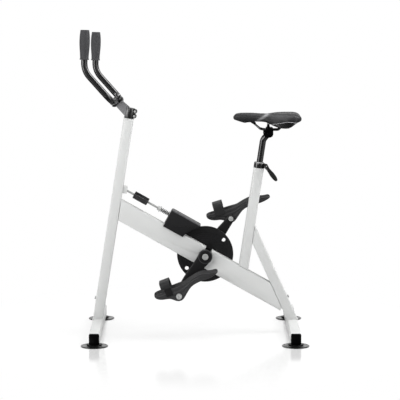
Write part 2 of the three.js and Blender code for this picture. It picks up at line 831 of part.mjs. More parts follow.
function buildPedal(name, side, tilt) {
  const middle = side * (crankOuter(side) + pedalGap + pedalHalf);
  const pivot = pedalCentre(side);
  const place = new THREE.Matrix4().makeRotationY(-rad(tilt)).setPosition(vec(pivot.x, middle, pivot.z));
  const pivotFrame = frameAlong(pivot, vec(0, side, 0), upward);
  const inner = crankOuter(side) + pedalGap;
  const outer = inner + 2 * pedalHalf;
  let pedal = placed(lofted(refined(pedalShares).map(pedalSection)), place);
  pedal = pedal.add(rod(pedalBossRadius, inner, outer, pivotFrame));
  const bedCut = lofted([-pedalBossRadius, pedalBossRadius].map((x) => {
    const half = pedalHalf - 2 * pedalWall;
    const floor = axleBedShare * strapHeight;
    return [vec(x, -half, floor), vec(x, half, floor), vec(x, half, strapHeight),
      vec(x, -half, strapHeight)];
  }));
  pedal = pedal.subtract(placed(bedCut, place));
  const through = outer + overrun;
  pedal = pedal.subtract(rod(pedalAxleRadius + seatGap, -through, through, frameAcross(pivot)));
  addPart("pedal_" + name, pedal, "pedal");
  const arch = strapArch(strapThickness).concat(strapArch(0).reverse());
  const strapFrame = place.clone().multiply(new THREE.Matrix4().makeBasis(across, upward, vec(1, 0, 0)));
  addPart("strap_" + name, extruded(arch, -strapFront, strapWidth - strapFront, strapFrame), "rubber");
  const tail = crankInner(side) - pedalEndDepth;
  let axle = rod(pedalAxleRadius, tail, outer + seatGap, pivotFrame);
  axle = axle.add(rod(pedalEndRadius, tail, crankInner(side) - seatGap, pivotFrame));
  axle = axle.add(rod(pedalHeadRadius, outer + seatGap, outer + pedalHeadDepth, pivotFrame));
  const headEnd = outer + pedalHeadDepth;
  const socket = rod(pedalSocketRadius, outer + pedalHeadDepth / 2, headEnd + overrun, pivotFrame, hexSides);
  addPart("pedal_axle_" + name, axle.subtract(socket), "steel");
}

buildPedal("left", -1, pedalAngleNear);
buildPedal("right", 1, pedalAngleFar);

// Brake, drawn along the beam: bracket on the post, rod with knob and nut, spring, housing and pad
const rodFrame = frameAlong(onBeam(0, rodRise), beamDirection);

function buildBrakeBracket() {
  const height = onBeam(0, rodRise).sub(postFoot).dot(postDirection);
  const face = tubeWidth / 2 + weldGap;
  const centre = onPost(height, face + bracketReach / 2);
  let bracket = boxSolid(bracketReach, bracketWidth, bracketHeight, frameAlong(centre, postDirection));
  bracket = bracket.subtract(rod(rodRadius + seatGap, -blockSize / 2, blockSize / 2, rodFrame));
  addPart("brake_bracket", bracket, "frame");
}

function buildBrakeRod() {
  const rodEnd = boxFront + rodInside - seatGap;
  addPart("brake_rod", rod(rodRadius, rodStart, rodEnd, rodFrame, tubeSides), "steel");
  const knobEnd = knobStart + knobLength;
  const profile = [
    [0, knobStart], [knobEndRadius, knobStart], [knobRadius, knobStart + knobChamfer],
    [knobRadius, knobEnd - knobChamfer], [knobEndRadius, knobEnd], [0, knobEnd],
  ];
  const bore = rod(rodRadius + seatGap, knobStart - overrun, knobEnd + overrun, rodFrame, tubeSides);
  addPart("brake_knob", lathed(profile, rodFrame, knobSides).subtract(bore), "black");
  const nutEnd = nutStart + nutLength;
  const washer = rod(washerRadius, nutEnd, nutEnd + washerLength, rodFrame);
  const nutBore = rod(rodRadius + seatGap, 0, boxFront, rodFrame, tubeSides);
  const hex = rod(nutRadius, nutStart, nutEnd + washerLength / 2, rodFrame, hexSides);
  const nut = hex.add(washer).subtract(nutBore);
  addPart("brake_nut", nut, "steel");
}

// The route of the spring about the rod: straight ends, and a helix between them.
function springRoute() {
  const low = nutStart + nutLength + washerLength + seatGap;
  const high = boxFront - seatGap;
  const start = low + springWire;
  const rise = high - low - 2 * springWire;
  const total = springCurls * springSteps;
  const route = [vec(springRadius, 0, low)];
  for (let step = 0; step <= total; step += 1) {
    const angle = 2 * Math.PI * step / springSteps;
    const height = start + rise * step / total;
    route.push(vec(springRadius * Math.cos(angle), springRadius * Math.sin(angle), height));
  }
  route.push(vec(springRadius, 0, high));
  return route;
}

function leastGap(route, apart, diameter) {
  let least = Infinity;
  route.forEach((point, index) => {
    for (let other = index + apart; other < route.length; other += 1) {
      least = Math.min(least, point.distanceTo(route[other]) - diameter);
    }
  });
  return least;
}

function buildSpring() {
  const route = springRoute();
  const gap = leastGap(route, springSteps / 2, springWire);
  console.log("brake spring, least gap to itself: " + gap.toFixed(2) + " mm");
  addPart("brake_spring", placed(sweptTube(route, springWire / 2, springSides), rodFrame), "steel");
}

function buildBrakeHousing() {
  const frame = frameSide(beamStart, -beamSlope);
  const arcRadius = discRadius + boxArcGap;
  const edge = boxTop - boxBevel;
  const outline = [[boxFront, boxBottom], [boxRear, boxBottom], [boxRear, edge],
    [boxRear - boxBevel, boxTop], [boxFront + boxBevel, boxTop], [boxFront, edge]];
  const half = tubeWidth / 2 + slideGap;
  const beamTop = beamHeight / 2 + slideGap;
  const tunnel = [[boxFront - overrun, boxBottom - overrun], [boxRear + overrun, boxBottom - overrun],
    [boxRear + overrun, beamTop], [boxFront - overrun, beamTop]];
  let box = plate(outline, -boxNear, boxFar, frame);
  box = box.subtract(plate(tunnel, -half, half, frame));
  box = box.subtract(rod(arcRadius, -blockSize / 2, blockSize / 2, frameAcross(crankCentre), discSides));
  const socketEnd = boxFront + rodInside;
  box = box.subtract(rod(rodRadius + seatGap, boxFront - overrun, socketEnd, rodFrame, tubeSides));
  const end = [[-boxNear, boxBottom], [boxFar, boxBottom], [boxFar, edge],
    [boxFar - boxBevel, boxTop], [boxBevel - boxNear, boxTop], [-boxNear, edge]];
  const endFrame = new THREE.Matrix4().makeBasis(across, beamUp, beamDirection).setPosition(beamStart);
  box = box.intersect(extruded(end, boxFront, boxRear, endFrame));
  addPart("brake_housing", box, "black");
  const padOuter = arcRadius - seatGap;
  const ring = rod(padOuter, discNear, discNear + discThickness, frameAcross(crankCentre), discSides)
    .subtract(rod(arcRadius - padThickness, 0, boxFar, frameAcross(crankCentre), discSides));
  const rear = boxRear - boxBevel;
  const sector = [[boxFront, boxBottom], [rear, boxBottom], [rear, edge], [boxFront, edge]];
  addPart("brake_pad", ring.intersect(plate(sector, 0, boxFar, frame)), "pad");
}

buildBrakeBracket();
buildBrakeRod();
buildSpring();
buildBrakeHousing();

// Seat post with its bent head, the collar that clamps it, and the collar's lever
const tubeTop = seatTubeLength + neckHeight;
const headAxis = onTube(tubeTop + seatPostStraight + headRise, seatPostSetback);

function buildSeatPost() {
  const corner = onTube(tubeTop + seatPostStraight);
  const route = roundedRoute([onTube(tubeTop - seatPostInside), corner, headAxis], [headBendRadius]);
  const frame = frameAcross(headAxis);
  let post = solidOf(sweptTube(route, seatPostRadius, roundSides));
  post = post.add(rod(headRadius, -headLength / 2, headLength / 2, frame));
  post = post.subtract(rod(pivotBoltRadius + seatGap, -headLength, headLength, frame));
  addPart("seat_post", post, "gloss");
}

const collarBase = seatTubeLength + weldGap;
const skewerAt = onTube(collarBase + collarHeight / 2, earReach - earHeight / 2);
const camAt = skewerAt.clone().addScaledVector(across, -(earHalfWidth + camRadius + seatGap));
const leverDirection = flat(Math.cos(rad(leverDrop)), -Math.sin(rad(leverDrop)));
const leverAxis = flat(-leverDirection.z, leverDirection.x);

function buildCollar() {
  const axis = frameAlong(tubeStart, tubeDirection);
  const side = frameSide(onTube(collarBase + collarHeight / 2), -seatRake);
  const ears = [[0, -earHeight / 2], [earReach - earHeight / 2, -earHeight / 2],
    [earReach - earHeight / 2, earHeight / 2], [0, earHeight / 2]];
  const slitTop = collarHeight + overrun;
  const slit = [[0, -slitTop], [earReach + overrun, -slitTop], [earReach + overrun, slitTop], [0, slitTop]];
  let collar = rod(collarRadius, collarBase, collarBase + collarHeight, axis);
  collar = collar.add(plate(ears, -earHalfWidth, earHalfWidth, side));
  collar = collar.add(rod(earHeight / 2, -earHalfWidth, earHalfWidth, frameAcross(skewerAt)));
  collar = collar.subtract(rod(neckRadius + seatGap, 0, tubeTop + overrun, axis));
  collar = collar.subtract(plate(slit, -collarSlot / 2, collarSlot / 2, side));
  const through = 2 * earHalfWidth;
  collar = collar.subtract(rod(skewerRadius + seatGap, -through, through, frameAcross(skewerAt)));
  addPart("seat_collar", collar, "black");
}

function buildSkewer() {
  const frame = frameAcross(skewerAt);
  const farEnd = earHalfWidth + seatGap;
  const nut = rod(skewerNutRadius, farEnd, farEnd + skewerNutLength, frame, hexSides);
  const pin = rod(camPinRadius, -camWidth / 2, camWidth / 2, frameAlong(camAt, leverAxis));
  const shank = rod(skewerRadius, camAt.y, farEnd + skewerNutLength / 2, frame);
  addPart("collar_skewer", shank.add(nut).add(pin), "steel");
}

function buildLever() {
  const frame = new THREE.Matrix4()
    .makeBasis(leverDirection, leverAxis, leverDirection.clone().cross(leverAxis)).setPosition(camAt);
  const edge = leverShares.map(([place, wide]) => [place * leverLength, wide * leverWide / 2]);
  const outline = edge.map(([along, half]) => [along, -half]).concat(edge.reverse());
  const reach = camRadius + overrun;
  const half = skewerRadius + seatGap;
  const slot = [[-reach, -half], [half, -half], [half, half], [-reach, half]];
  let lever = rod(camRadius, -camWidth / 2, camWidth / 2, frameAlong(camAt, leverAxis));
  lever = lever.add(extruded(outline, camRadius - leverThickness, camRadius, frame));
  lever = lever.subtract(extruded(slot, -reach, reach, frame));
  lever = lever.subtract(rod(camPinRadius + seatGap, -camWidth, camWidth, frameAlong(camAt, leverAxis)));
  addPart("collar_lever", lever, "black");
}

buildSeatPost();
buildCollar();
buildSkewer();
buildLever();

// Saddle: clamp on the post's head, rails, shell and pad, all set out from the head's axis
const onHead = (x, y, z) => headAxis.clone().add(vec(x, y, z));
const headSide = frameSide(headAxis, 0);
const saddleX = (along) => along * saddleLength - saddleNoseToHead;
const saddleZ = (drop) => saddleTop - drop * padDepth;
const shellUnder = saddleZ(middleFloorShare) - seatGap - shellThickness;

function stadium(halfLength, radius) {
  const points = [];
  for (const [centre, start] of [[halfLength - radius, -quarterAngle], [radius - halfLength, quarterAngle]]) {
    for (let step = 0; step <= 2 * cornerSteps; step += 1) {
      const angle = rad(start + 180 * step / (2 * cornerSteps));
      points.push([centre + radius * Math.cos(angle), radius * Math.sin(angle)]);
    }
  }
  return points;
}

function railGrooves(solid) {
  let cut = solid;
  for (const y of [-railOffset, railOffset]) {
    const frame = frameAlong(onHead(0, y, railHeight), vec(1, 0, 0));
    cut = cut.subtract(rod(railRadius + seatGap, -clampLength, clampLength, frame, wireSides));
  }
  return cut.subtract(rod(clampScrewRadius + seatGap, headRadius, saddleTop, frameAlong(headAxis, upward)));
}

function buildSaddleClamp() {
  const low = headRadius + seatGap;
  const earIn = headLength / 2 + seatGap;
  const earOut = earIn + clampEarThickness;
  const block = [[-clampLength / 2, low], [clampLength / 2, low], [clampLength / 2, railHeight],
    [-clampLength / 2, railHeight]];
  let lower = plate(block, -clampHalfWidth, clampHalfWidth, headSide);
  for (const [from, to] of [[-earOut, -earIn], [earIn, earOut]]) {
    lower = lower.add(plate(stadium(clampLength / 2, clampEarHalf), from, to, headSide));
    const web = [[-clampLength / 2, 0], [clampLength / 2, 0], [clampLength / 2, railHeight],
      [-clampLength / 2, railHeight]];
    lower = lower.add(plate(web, from, to, headSide));
  }
  const frame = frameAcross(headAxis);
  lower = lower.subtract(rod(pivotBoltRadius + seatGap, -clampHalfWidth, clampHalfWidth, frame));
  addPart("saddle_clamp_lower", railGrooves(lower), "black");
  const topLow = railHeight + seatGap;
  const topHigh = topLow + clampTopHeight;
  const rear = clampTopLength - clampTopFront;
  const top = [[-clampTopFront, topLow], [rear, topLow], [rear, topHigh], [-clampTopFront, topHigh]];
  addPart("saddle_clamp_upper", railGrooves(plate(top, -clampHalfWidth, clampHalfWidth, headSide)), "black");
  const nutIn = earOut + seatGap;
  const nutOut = nutIn + pivotNutHeight;
  let bolt = rod(pivotBoltRadius, -nutIn - seatGap, nutIn + seatGap, frame);
  bolt = bolt.add(rod(pivotNutRadius, nutIn, nutOut, frame, hexSides));
  bolt = bolt.add(rod(pivotNutRadius, -nutOut, -nutIn, frame, hexSides));
  addPart("saddle_clamp_bolt", bolt, "steel");
  const upright = frameAlong(headAxis, upward);
  const screwHead = topHigh + seatGap;
  const screw = rod(clampScrewRadius, low + seatGap, screwHead + seatGap, upright);
  const head = rod(clampScrewHead, screwHead, screwHead + clampScrewHeadDepth, upright);
  addPart("saddle_clamp_screw", screw.add(head), "steel");
}

function railRoute(side) {
  const end = shellUnder - railEndGap;
  const corners = [
    [-railNoseReach, railNoseOffset, end], [-railKneeFront, railOffset, railHeight + railKneeRise],
    [-railFlatFront, railOffset, railHeight], [railFlatRear, railOffset, railHeight],
    [railRearReach, railOffset, end],
  ];
  const bends = [railBendRadius, 2 * railBendRadius, railBendRadius];
  return roundedRoute(corners.map(([x, y, z]) => onHead(x, side * y, z)), bends);
}

function railBoss(route, fromEnd) {
  const tip = fromEnd ? route[route.length - 1] : route[0];
  const next = fromEnd ? route[route.length - 2] : route[1];
  const frame = frameAlong(tip, tip.clone().sub(next));
  const top = beyond(onHead(0, 0, shellUnder + shellThickness), upward);
  return {
    boss: rod(railBossRadius, -railBossLength, 3 * railEndGap, frame, tubeSides).subtract(top),
    bore: rod(railRadius + seatGap, -railBossLength - overrun, seatGap, frame, wireSides),
  };
}

function shellSection([along, wide, , , floor]) {
  const half = wide * saddleWidth / 2 - padInset(wide) - seatGap;
  const top = saddleZ(floor) - seatGap;
  const under = top - shellThickness;
  const at = (y, z) => onHead(saddleX(along), y, z);
  return [at(-half, under), at(half, under), at(half, top), at(-half, top)];
}

function padInset(wide) {
  return Math.min(padSkirt, wide * saddleWidth * skirtShare);
}

function padSection([along, wide, top, skirt, floor]) {
  const half = wide * saddleWidth / 2;
  const inner = half - padInset(wide);
  const high = saddleZ(top);
  const low = Math.min(saddleZ(skirt), saddleZ(floor) - shellThickness - seatGap);
  const hem = Math.min(padHem, padInset(wide) / 2, (high - low) * hemShare);
  const channel = Math.min(channelHalf, half / 2);
  const right = [[inner, saddleZ(floor)], [inner, low], [half - hem, low], [half, low + hem]];
  crownShares.forEach(([share, drop]) => right.push([share * half, high - drop * (high - low)]));
  right.push([channel, high]);
  const left = right.map(([y, z]) => [-y, z]).reverse();
  const points = [...right, [0, high - channelDepth * wide], ...left];
  return points.map(([y, z]) => onHead(saddleX(along), y, z));
}

function buildSaddle() {
  const stations = refined(saddleShares);
  addPart("saddle_pad", solidOf(lofted(stations.map(padSection))), "leather");
  let shell = solidOf(lofted(stations.slice(1, -1).map(shellSection)));
  for (const [name, side] of [["left", -1], ["right", 1]]) {
    const route = railRoute(side);
    const ends = [railBoss(route, false), railBoss(route, true)];
    ends.forEach(({ boss }) => { shell = shell.add(boss); });
    ends.forEach(({ bore }) => { shell = shell.subtract(bore); });
    addPart("saddle_rail_" + name, solidOf(sweptTube(route, railRadius, wireSides)), "gloss");
  }
  addPart("saddle_shell", shell, "black");
}

buildSaddleClamp();
buildSaddle();

// Handlebar: stem, face plate, bolts, bar and grips; the bar sits a little askew in its clamp
const stemMiddle = postLength + weldGap + stemClampGap + stemClampHeight / 2;
const barCentre = onPost(stemMiddle + barRise, -barReach);
const barFall = flat(Math.cos(rad(barSlope)), -Math.sin(rad(barSlope)));
const skewCos = Math.cos(rad(barSkew));
const skewSin = Math.sin(rad(barSkew));
const barAcross = across.clone().multiplyScalar(skewCos).addScaledVector(barFall, skewSin);
const barAlong = barFall.clone().multiplyScalar(skewCos).addScaledVector(across, -skewSin);
const barNormal = barAlong.clone().cross(barAcross);
const barFrame = new THREE.Matrix4().makeBasis(barAlong, barAcross, barNormal).setPosition(barCentre);
const barNear = barAcross.clone().negate();
const barSide = new THREE.Matrix4().makeBasis(barAlong, barNormal, barNear).setPosition(barCentre);
const barAxis = frameAlong(barCentre, barAcross, upward);
const onBar = (x, y, z) => vec(x, y, z).applyMatrix4(barFrame);
const uprightLocal = vec(-Math.cos(rad(barBend)), 0, Math.sin(rad(barBend)));
const uprightDirection = uprightLocal.clone().transformDirection(barFrame);

function buildHandlebar() {
  const half = barSpan / 2;
  const legTops = [-half, half].map((y) => onBar(-barLegLength, y, 0));
  const corners = [
    legTops[0].clone().addScaledVector(uprightDirection, barUpright), legTops[0], onBar(0, -half, 0),
    onBar(0, half, 0), legTops[1], legTops[1].clone().addScaledVector(uprightDirection, barUpright),
  ];
  const route = roundedRoute(corners, [barBendRadius, barCornerRadius, barCornerRadius, barBendRadius]);
  addPart("handlebar", solidOf(sweptTube(route, barRadius, tubeSides)), "gloss");
  buildGrip("grip_left", legTops[0]);
  buildGrip("grip_right", legTops[1]);
}

function buildGrip(name, base) {
  const high = gripLow + gripLength;
  const bore = barRadius + seatGap;
  const boreEnd = barUpright + seatGap;
  const lipEnd = gripLow + gripLip;
  const bellySpan = gripLength - gripLip - gripTop;
  const belly = gripShares.map(([place, swell]) =>
    [gripEndRadius + swell * (gripBellyRadius - gripEndRadius), lipEnd + place * bellySpan]);
  addPart(name, lathed([
    [0, boreEnd], [bore, boreEnd], [bore, gripLow], [gripLipRadius, gripLow], [gripLipRadius, lipEnd],
    [gripEndRadius, lipEnd], ...belly, [gripEndRadius, high - gripTop],
    [gripDomeRadius, high - gripDomeDrop], [gripTipRadius, high], [0, high],
  ], frameAlong(base, uprightDirection)), "rubber");
}

const faceSeat = faceFront - faceBoltHeadDepth - faceSplit * 2;

function buildStem() {
  const axis = frameAlong(postFoot, postDirection);
  const side = frameSide(onPost(stemMiddle), -postRake);
  const half = stemClampHeight / 2;
  const reach = new THREE.Vector2(barReach, -barRise);
  const lift = new THREE.Vector2(-reach.y, reach.x).normalize().multiplyScalar(stemArmHalf);
  const arm = [[-barReach - lift.x, barRise - lift.y], [-stemClampRadius / 2, -half], [0, half],
    [-barReach + lift.x, barRise + lift.y]];
  let stem = rod(stemClampRadius, stemMiddle - half, stemMiddle + half, axis);
  stem = stem.add(plate(arm, -stemArmWidth / 2, stemArmWidth / 2, side));
  const halfSpan = faceSpan / 2;
  const back = [
    [faceSplit, -halfSpan], [faceBack - faceCorner, -halfSpan], [faceBack, faceCorner - halfSpan],
    [faceBack, halfSpan - faceCorner], [faceBack - faceCorner, halfSpan], [faceSplit, halfSpan],
  ];
  const ahead = [[-faceSpan, -faceSpan], [faceSplit, -faceSpan], [faceSplit, faceSpan],
    [-faceSpan, faceSpan]];
  stem = stem.subtract(extruded(ahead, -faceWidth, faceWidth, barSide));
  stem = stem.add(extruded(back, -faceWidth / 2, faceWidth / 2, barSide));
  const earEnd = stemEarReach - stemEarHeight / 2;
  for (const shift of [-stemBoltSpacing / 2, stemBoltSpacing / 2]) {
    const low = shift - stemEarHeight / 2;
    const ear = [[0, low], [earEnd, low], [earEnd, low + stemEarHeight], [0, low + stemEarHeight]];
    const centre = onPost(stemMiddle + shift, earEnd);
    stem = stem.add(plate(ear, -stemEarWidth / 2, stemEarWidth / 2, side));
    stem = stem.add(rod(stemEarHeight / 2, -stemEarWidth / 2, stemEarWidth / 2, frameAcross(centre)));
    stem = stem.subtract(rod(stemBoltRadius + seatGap, -stemEarWidth, stemEarWidth, frameAcross(centre)));
    buildStemBolt(shift < 0 ? "stem_bolt_lower" : "stem_bolt_upper", centre);
  }
  const slitEnd = stemEarReach + overrun;
  const slit = [[0, -stemClampHeight], [slitEnd, -stemClampHeight], [slitEnd, stemClampHeight],
    [0, stemClampHeight]];
  stem = stem.subtract(plate(slit, -stemSlot / 2, stemSlot / 2, side));
  stem = stem.subtract(rod(stubRadius + seatGap, postLength, stemMiddle + stemClampHeight, axis));
  stem = stem.subtract(rod(barRadius + seatGap, -faceWidth, faceWidth, barAxis));
  addPart("stem", faceBoltHoles(stem), "black");
}

function buildStemBolt(name, centre) {
  const frame = frameAcross(centre);
  const face = stemEarWidth / 2;
  const head = rod(stemBoltHead, -face - stemBoltHeadDepth, -face - seatGap, frame);
  addPart(name, head.add(rod(stemBoltRadius, -face - stemBoltHeadDepth / 2, face, frame)), "steel");
}

function faceBoltFrame(offset) {
  return frameAlong(onBar(0, 0, offset), barAlong);
}

function faceBoltHoles(solid) {
  const start = -faceFront - overrun;
  return [-faceBoltOffset, faceBoltOffset].reduce((cut, offset) =>
    cut.subtract(rod(faceBoltRadius + seatGap, start, faceBack - faceSplit, faceBoltFrame(offset))), solid);
}

function buildFacePlate() {
  const half = faceSpan / 2;
  const bulge = barRadius + faceSplit;
  const outline = [
    [-faceSplit, -half], [-faceSplit, half], [-faceSeat, half], [-faceSeat, bulge],
    [-faceFront, faceBack - faceCorner], [-faceFront, faceCorner - faceBack], [-faceSeat, -bulge],
    [-faceSeat, -half],
  ];
  let face = extruded(outline, -faceWidth / 2, faceWidth / 2, barSide);
  face = face.subtract(rod(barRadius + seatGap, -faceWidth, faceWidth, barAxis));
  addPart("stem_face", faceBoltHoles(face), "black");
  for (const [name, offset] of [["face_bolt_lower", -faceBoltOffset], ["face_bolt_upper", faceBoltOffset]]) {
    const frame = faceBoltFrame(offset);
    const head = rod(faceBoltHead, -faceSeat - faceBoltHeadDepth, -faceSeat - seatGap, frame);
    const shankStart = -faceSeat - faceBoltHeadDepth / 2;
    const shank = rod(faceBoltRadius, shankStart, faceBack - faceSplit - 2 * seatGap, frame);
    addPart(name, head.add(shank), "steel");
  }
}

buildHandlebar();
buildStem();
buildFacePlate();

// The whole stands on the floor with the middle of its outer box over the origin.
const bounds = new THREE.Box3().setFromObject(group);
const shift = vec(-(bounds.min.x + bounds.max.x) / 2, -(bounds.min.y + bounds.max.y) / 2, -bounds.min.z);
group.position.copy(shift);
const told = (point) => point.clone().add(shift).toArray().map((value) => value.toFixed(2)).join(", ");
const size = bounds.getSize(vec(0, 0, 0)).toArray().map((value) => value.toFixed(1));
console.log("shift " + told(vec(0, 0, 0)) + " size " + size);
console.log("crank " + told(crankCentre));
console.log("pedals " + told(pedalCentre(-1)) + " / " + told(pedalCentre(1)));
console.log("head " + told(headAxis) + " bar " + told(barCentre) + " cam " + told(camAt));
console.log("rod " + told(onBeam(0, rodRise)) + " skewer " + told(skewerAt));

export default group;
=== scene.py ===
import json
import math
import bpy
import bmesh
from mathutils import Matrix, Vector

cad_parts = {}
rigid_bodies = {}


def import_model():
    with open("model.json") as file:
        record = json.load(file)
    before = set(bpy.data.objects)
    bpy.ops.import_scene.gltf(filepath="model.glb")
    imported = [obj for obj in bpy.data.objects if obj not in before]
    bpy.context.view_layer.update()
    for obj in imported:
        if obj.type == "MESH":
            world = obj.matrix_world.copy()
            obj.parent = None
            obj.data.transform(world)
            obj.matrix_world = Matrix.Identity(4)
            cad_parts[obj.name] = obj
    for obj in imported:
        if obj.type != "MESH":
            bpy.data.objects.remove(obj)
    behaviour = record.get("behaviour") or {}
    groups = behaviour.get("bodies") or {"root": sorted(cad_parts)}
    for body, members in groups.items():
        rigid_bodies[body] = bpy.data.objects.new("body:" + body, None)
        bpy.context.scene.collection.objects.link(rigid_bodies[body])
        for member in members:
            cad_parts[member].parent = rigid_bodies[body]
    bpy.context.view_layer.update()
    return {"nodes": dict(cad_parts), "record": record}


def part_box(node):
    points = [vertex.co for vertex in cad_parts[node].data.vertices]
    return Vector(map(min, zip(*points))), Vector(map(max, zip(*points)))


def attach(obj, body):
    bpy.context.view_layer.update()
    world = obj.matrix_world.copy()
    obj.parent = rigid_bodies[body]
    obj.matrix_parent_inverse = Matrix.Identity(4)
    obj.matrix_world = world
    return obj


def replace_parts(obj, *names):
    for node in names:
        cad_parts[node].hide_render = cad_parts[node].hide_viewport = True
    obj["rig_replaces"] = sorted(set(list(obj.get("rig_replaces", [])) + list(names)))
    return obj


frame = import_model()
bpy.ops.object.select_all(action="DESELECT")
print("frame loaded")

# corners nearer than this are one, in metres, and flatter edges than this are none, in degrees
meshLook = {"cadWeld": 0.00002, "ownWeld": 0.000005, "flatAngle": 0.6}


def tone(red, green, blue):
    # a colour as a picture shows it, 0 to 255, turned into the shader's linear value
    values = [v / 255 for v in (red, green, blue)]
    return [v / 12.92 if v <= 0.04045 else ((v + 0.055) / 1.055) ** 2.4 for v in values] + [1]


def activate(piece):
    bpy.ops.object.select_all(action="DESELECT")
    piece.select_set(True)
    bpy.context.view_layer.objects.active = piece


def applyAll(piece):
    activate(piece)
    for modifier in list(piece.modifiers):
        bpy.ops.object.modifier_apply(modifier=modifier.name)


def addModifier(piece, kind, **values):
    modifier = piece.modifiers.new(kind.lower(), kind)
    for key, value in values.items():
        setattr(modifier, key, value)


def smoothByAngle(piece, degrees=32):
    activate(piece)
    bpy.ops.object.shade_smooth_by_angle(angle=math.radians(degrees))
    return piece


def placeObject(name, data):
    piece = bpy.data.objects.new(name, data)
    bpy.context.collection.objects.link(piece)
    return piece


def enterEdit():
    bpy.ops.object.mode_set(mode="EDIT")


def leaveEdit():
    bpy.ops.object.mode_set(mode="OBJECT")


def pickAll():
    bpy.ops.mesh.select_all(action="SELECT")


def editAll(piece):
    # edit mode with everything picked
    activate(piece)
    enterEdit()
    pickAll()


def mergedCopy(nodeName, pieceName):
    # a CAD node's own mesh is loose triangles, so the copy is welded and its flat faces joined
    piece = placeObject(pieceName, frame["nodes"][nodeName].data.copy())
    piece.data.materials.clear()
    editAll(piece)
    bpy.ops.mesh.remove_doubles(threshold=meshLook["cadWeld"])
    bpy.ops.mesh.customdata_custom_splitnormals_clear()
    bpy.ops.mesh.dissolve_limited(angle_limit=math.radians(meshLook["flatAngle"]))
    leaveEdit()
    return piece


def settle(piece, body, finish, *nodes, slotName=None):
    # the slot takes the finish's own material; slotName is not used
    piece.data.materials.clear()
    piece.data.materials.append(finishes[finish])
    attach(piece, body)
    if nodes:
        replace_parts(piece, *nodes)


def fillInputs(tree, node, inputs):
    # each input takes a value, or is linked to another node's output
    for socket, value in inputs.items():
        if isinstance(value, bpy.types.NodeSocket):
            tree.links.new(value, node.inputs[socket])
        else:
            node.inputs[socket].default_value = value


def addNode(tree, kind, inputs=None, **settings):
    node = tree.nodes.new("ShaderNode" + kind)
    for name, setting in settings.items():
        setattr(node, name, setting)
    fillInputs(tree, node, inputs or {})
    return node


def newMaterial(name):
    material = bpy.data.materials.new(name)
    material.use_nodes = True
    return material, material.node_tree, material.node_tree.nodes["Principled BSDF"]


def noise(tree, place, scale, detail):
    return addNode(tree, "TexNoise", {"Scale": scale, "Detail": detail, "Vector": place}).outputs["Fac"]


# what a finish has where its own entry says nothing
plainLook = {
    "patch": 9, "patchDetail": 5, "patchEdges": (0.3, 0.7), "spread": 0.05, "grain": 900, "grainDetail": 3,
    "speckle": 0.08, "rough": (0.35, 0.5), "scuffs": 40, "scuffDetail": 6, "relief": 0.3, "depth": 0.00005,
    "metal": 0, "coat": 0, "coatRough": 0.15, "specular": 0.5}


def surface(name, ownLook):
    # one shader for every finish: patches of tone, grain, uneven gloss and a small relief
    look = {**plainLook, **ownLook}
    material, tree, shader = newMaterial(name)
    place = addNode(tree, "TexCoord").outputs["Object"]
    ramp = addNode(tree, "ValToRGB", {"Fac": noise(tree, place, look["patch"], look["patchDetail"])})
    colour, spread = tone(*look["colour"]), look["spread"]
    factors = (1 - spread, 1 + spread)
    for element, edge, factor in zip(ramp.color_ramp.elements, look["patchEdges"], factors):
        element.position = edge
        element.color = [min(1, c * factor) for c in colour[:3]] + [1]
    grainPlace = place
    if "brushed" in look:
        stretch = addNode(tree, "Mapping", {"Scale": look["brushed"], "Vector": place})
        grainPlace = stretch.outputs["Vector"]
    grain = noise(tree, grainPlace, look["grain"], look["grainDetail"])
    speckle = addNode(tree, "Mix", {"Factor": look["speckle"]}, data_type="RGBA", blend_type="MULTIPLY")
    fillInputs(tree, speckle, {"A": ramp.outputs["Color"], "B": grain})
    base = speckle.outputs["Result"]
    if "painted_highlight" in look:
        # a painted highlight: a paler colour, in the share that the piece's own values give
        share = addNode(tree, "Attribute", attribute_name="painted_highlight")
        paler = addNode(tree, "Mix", {"Factor": share.outputs["Fac"], "A": base, "B": tone(*look["painted_highlight"])},
                        data_type="RGBA")
        base = paler.outputs["Result"]
    scuffs = noise(tree, place, look["scuffs"], look["scuffDetail"])
    low, high = look["rough"]
    rough = addNode(tree, "MapRange", {"Value": scuffs, "To Min": low, "To Max": high})
    bump = addNode(tree, "Bump", {"Strength": look["relief"], "Distance": look["depth"], "Height": grain})
    fillInputs(tree, shader, {
        "Base Color": base, "Roughness": rough.outputs["Result"], "Normal": bump.outputs["Normal"],
        "Metallic": look["metal"], "Coat Weight": look["coat"], "Coat Roughness": look["coatRough"],
        "Specular IOR Level": look["specular"]})
    return material


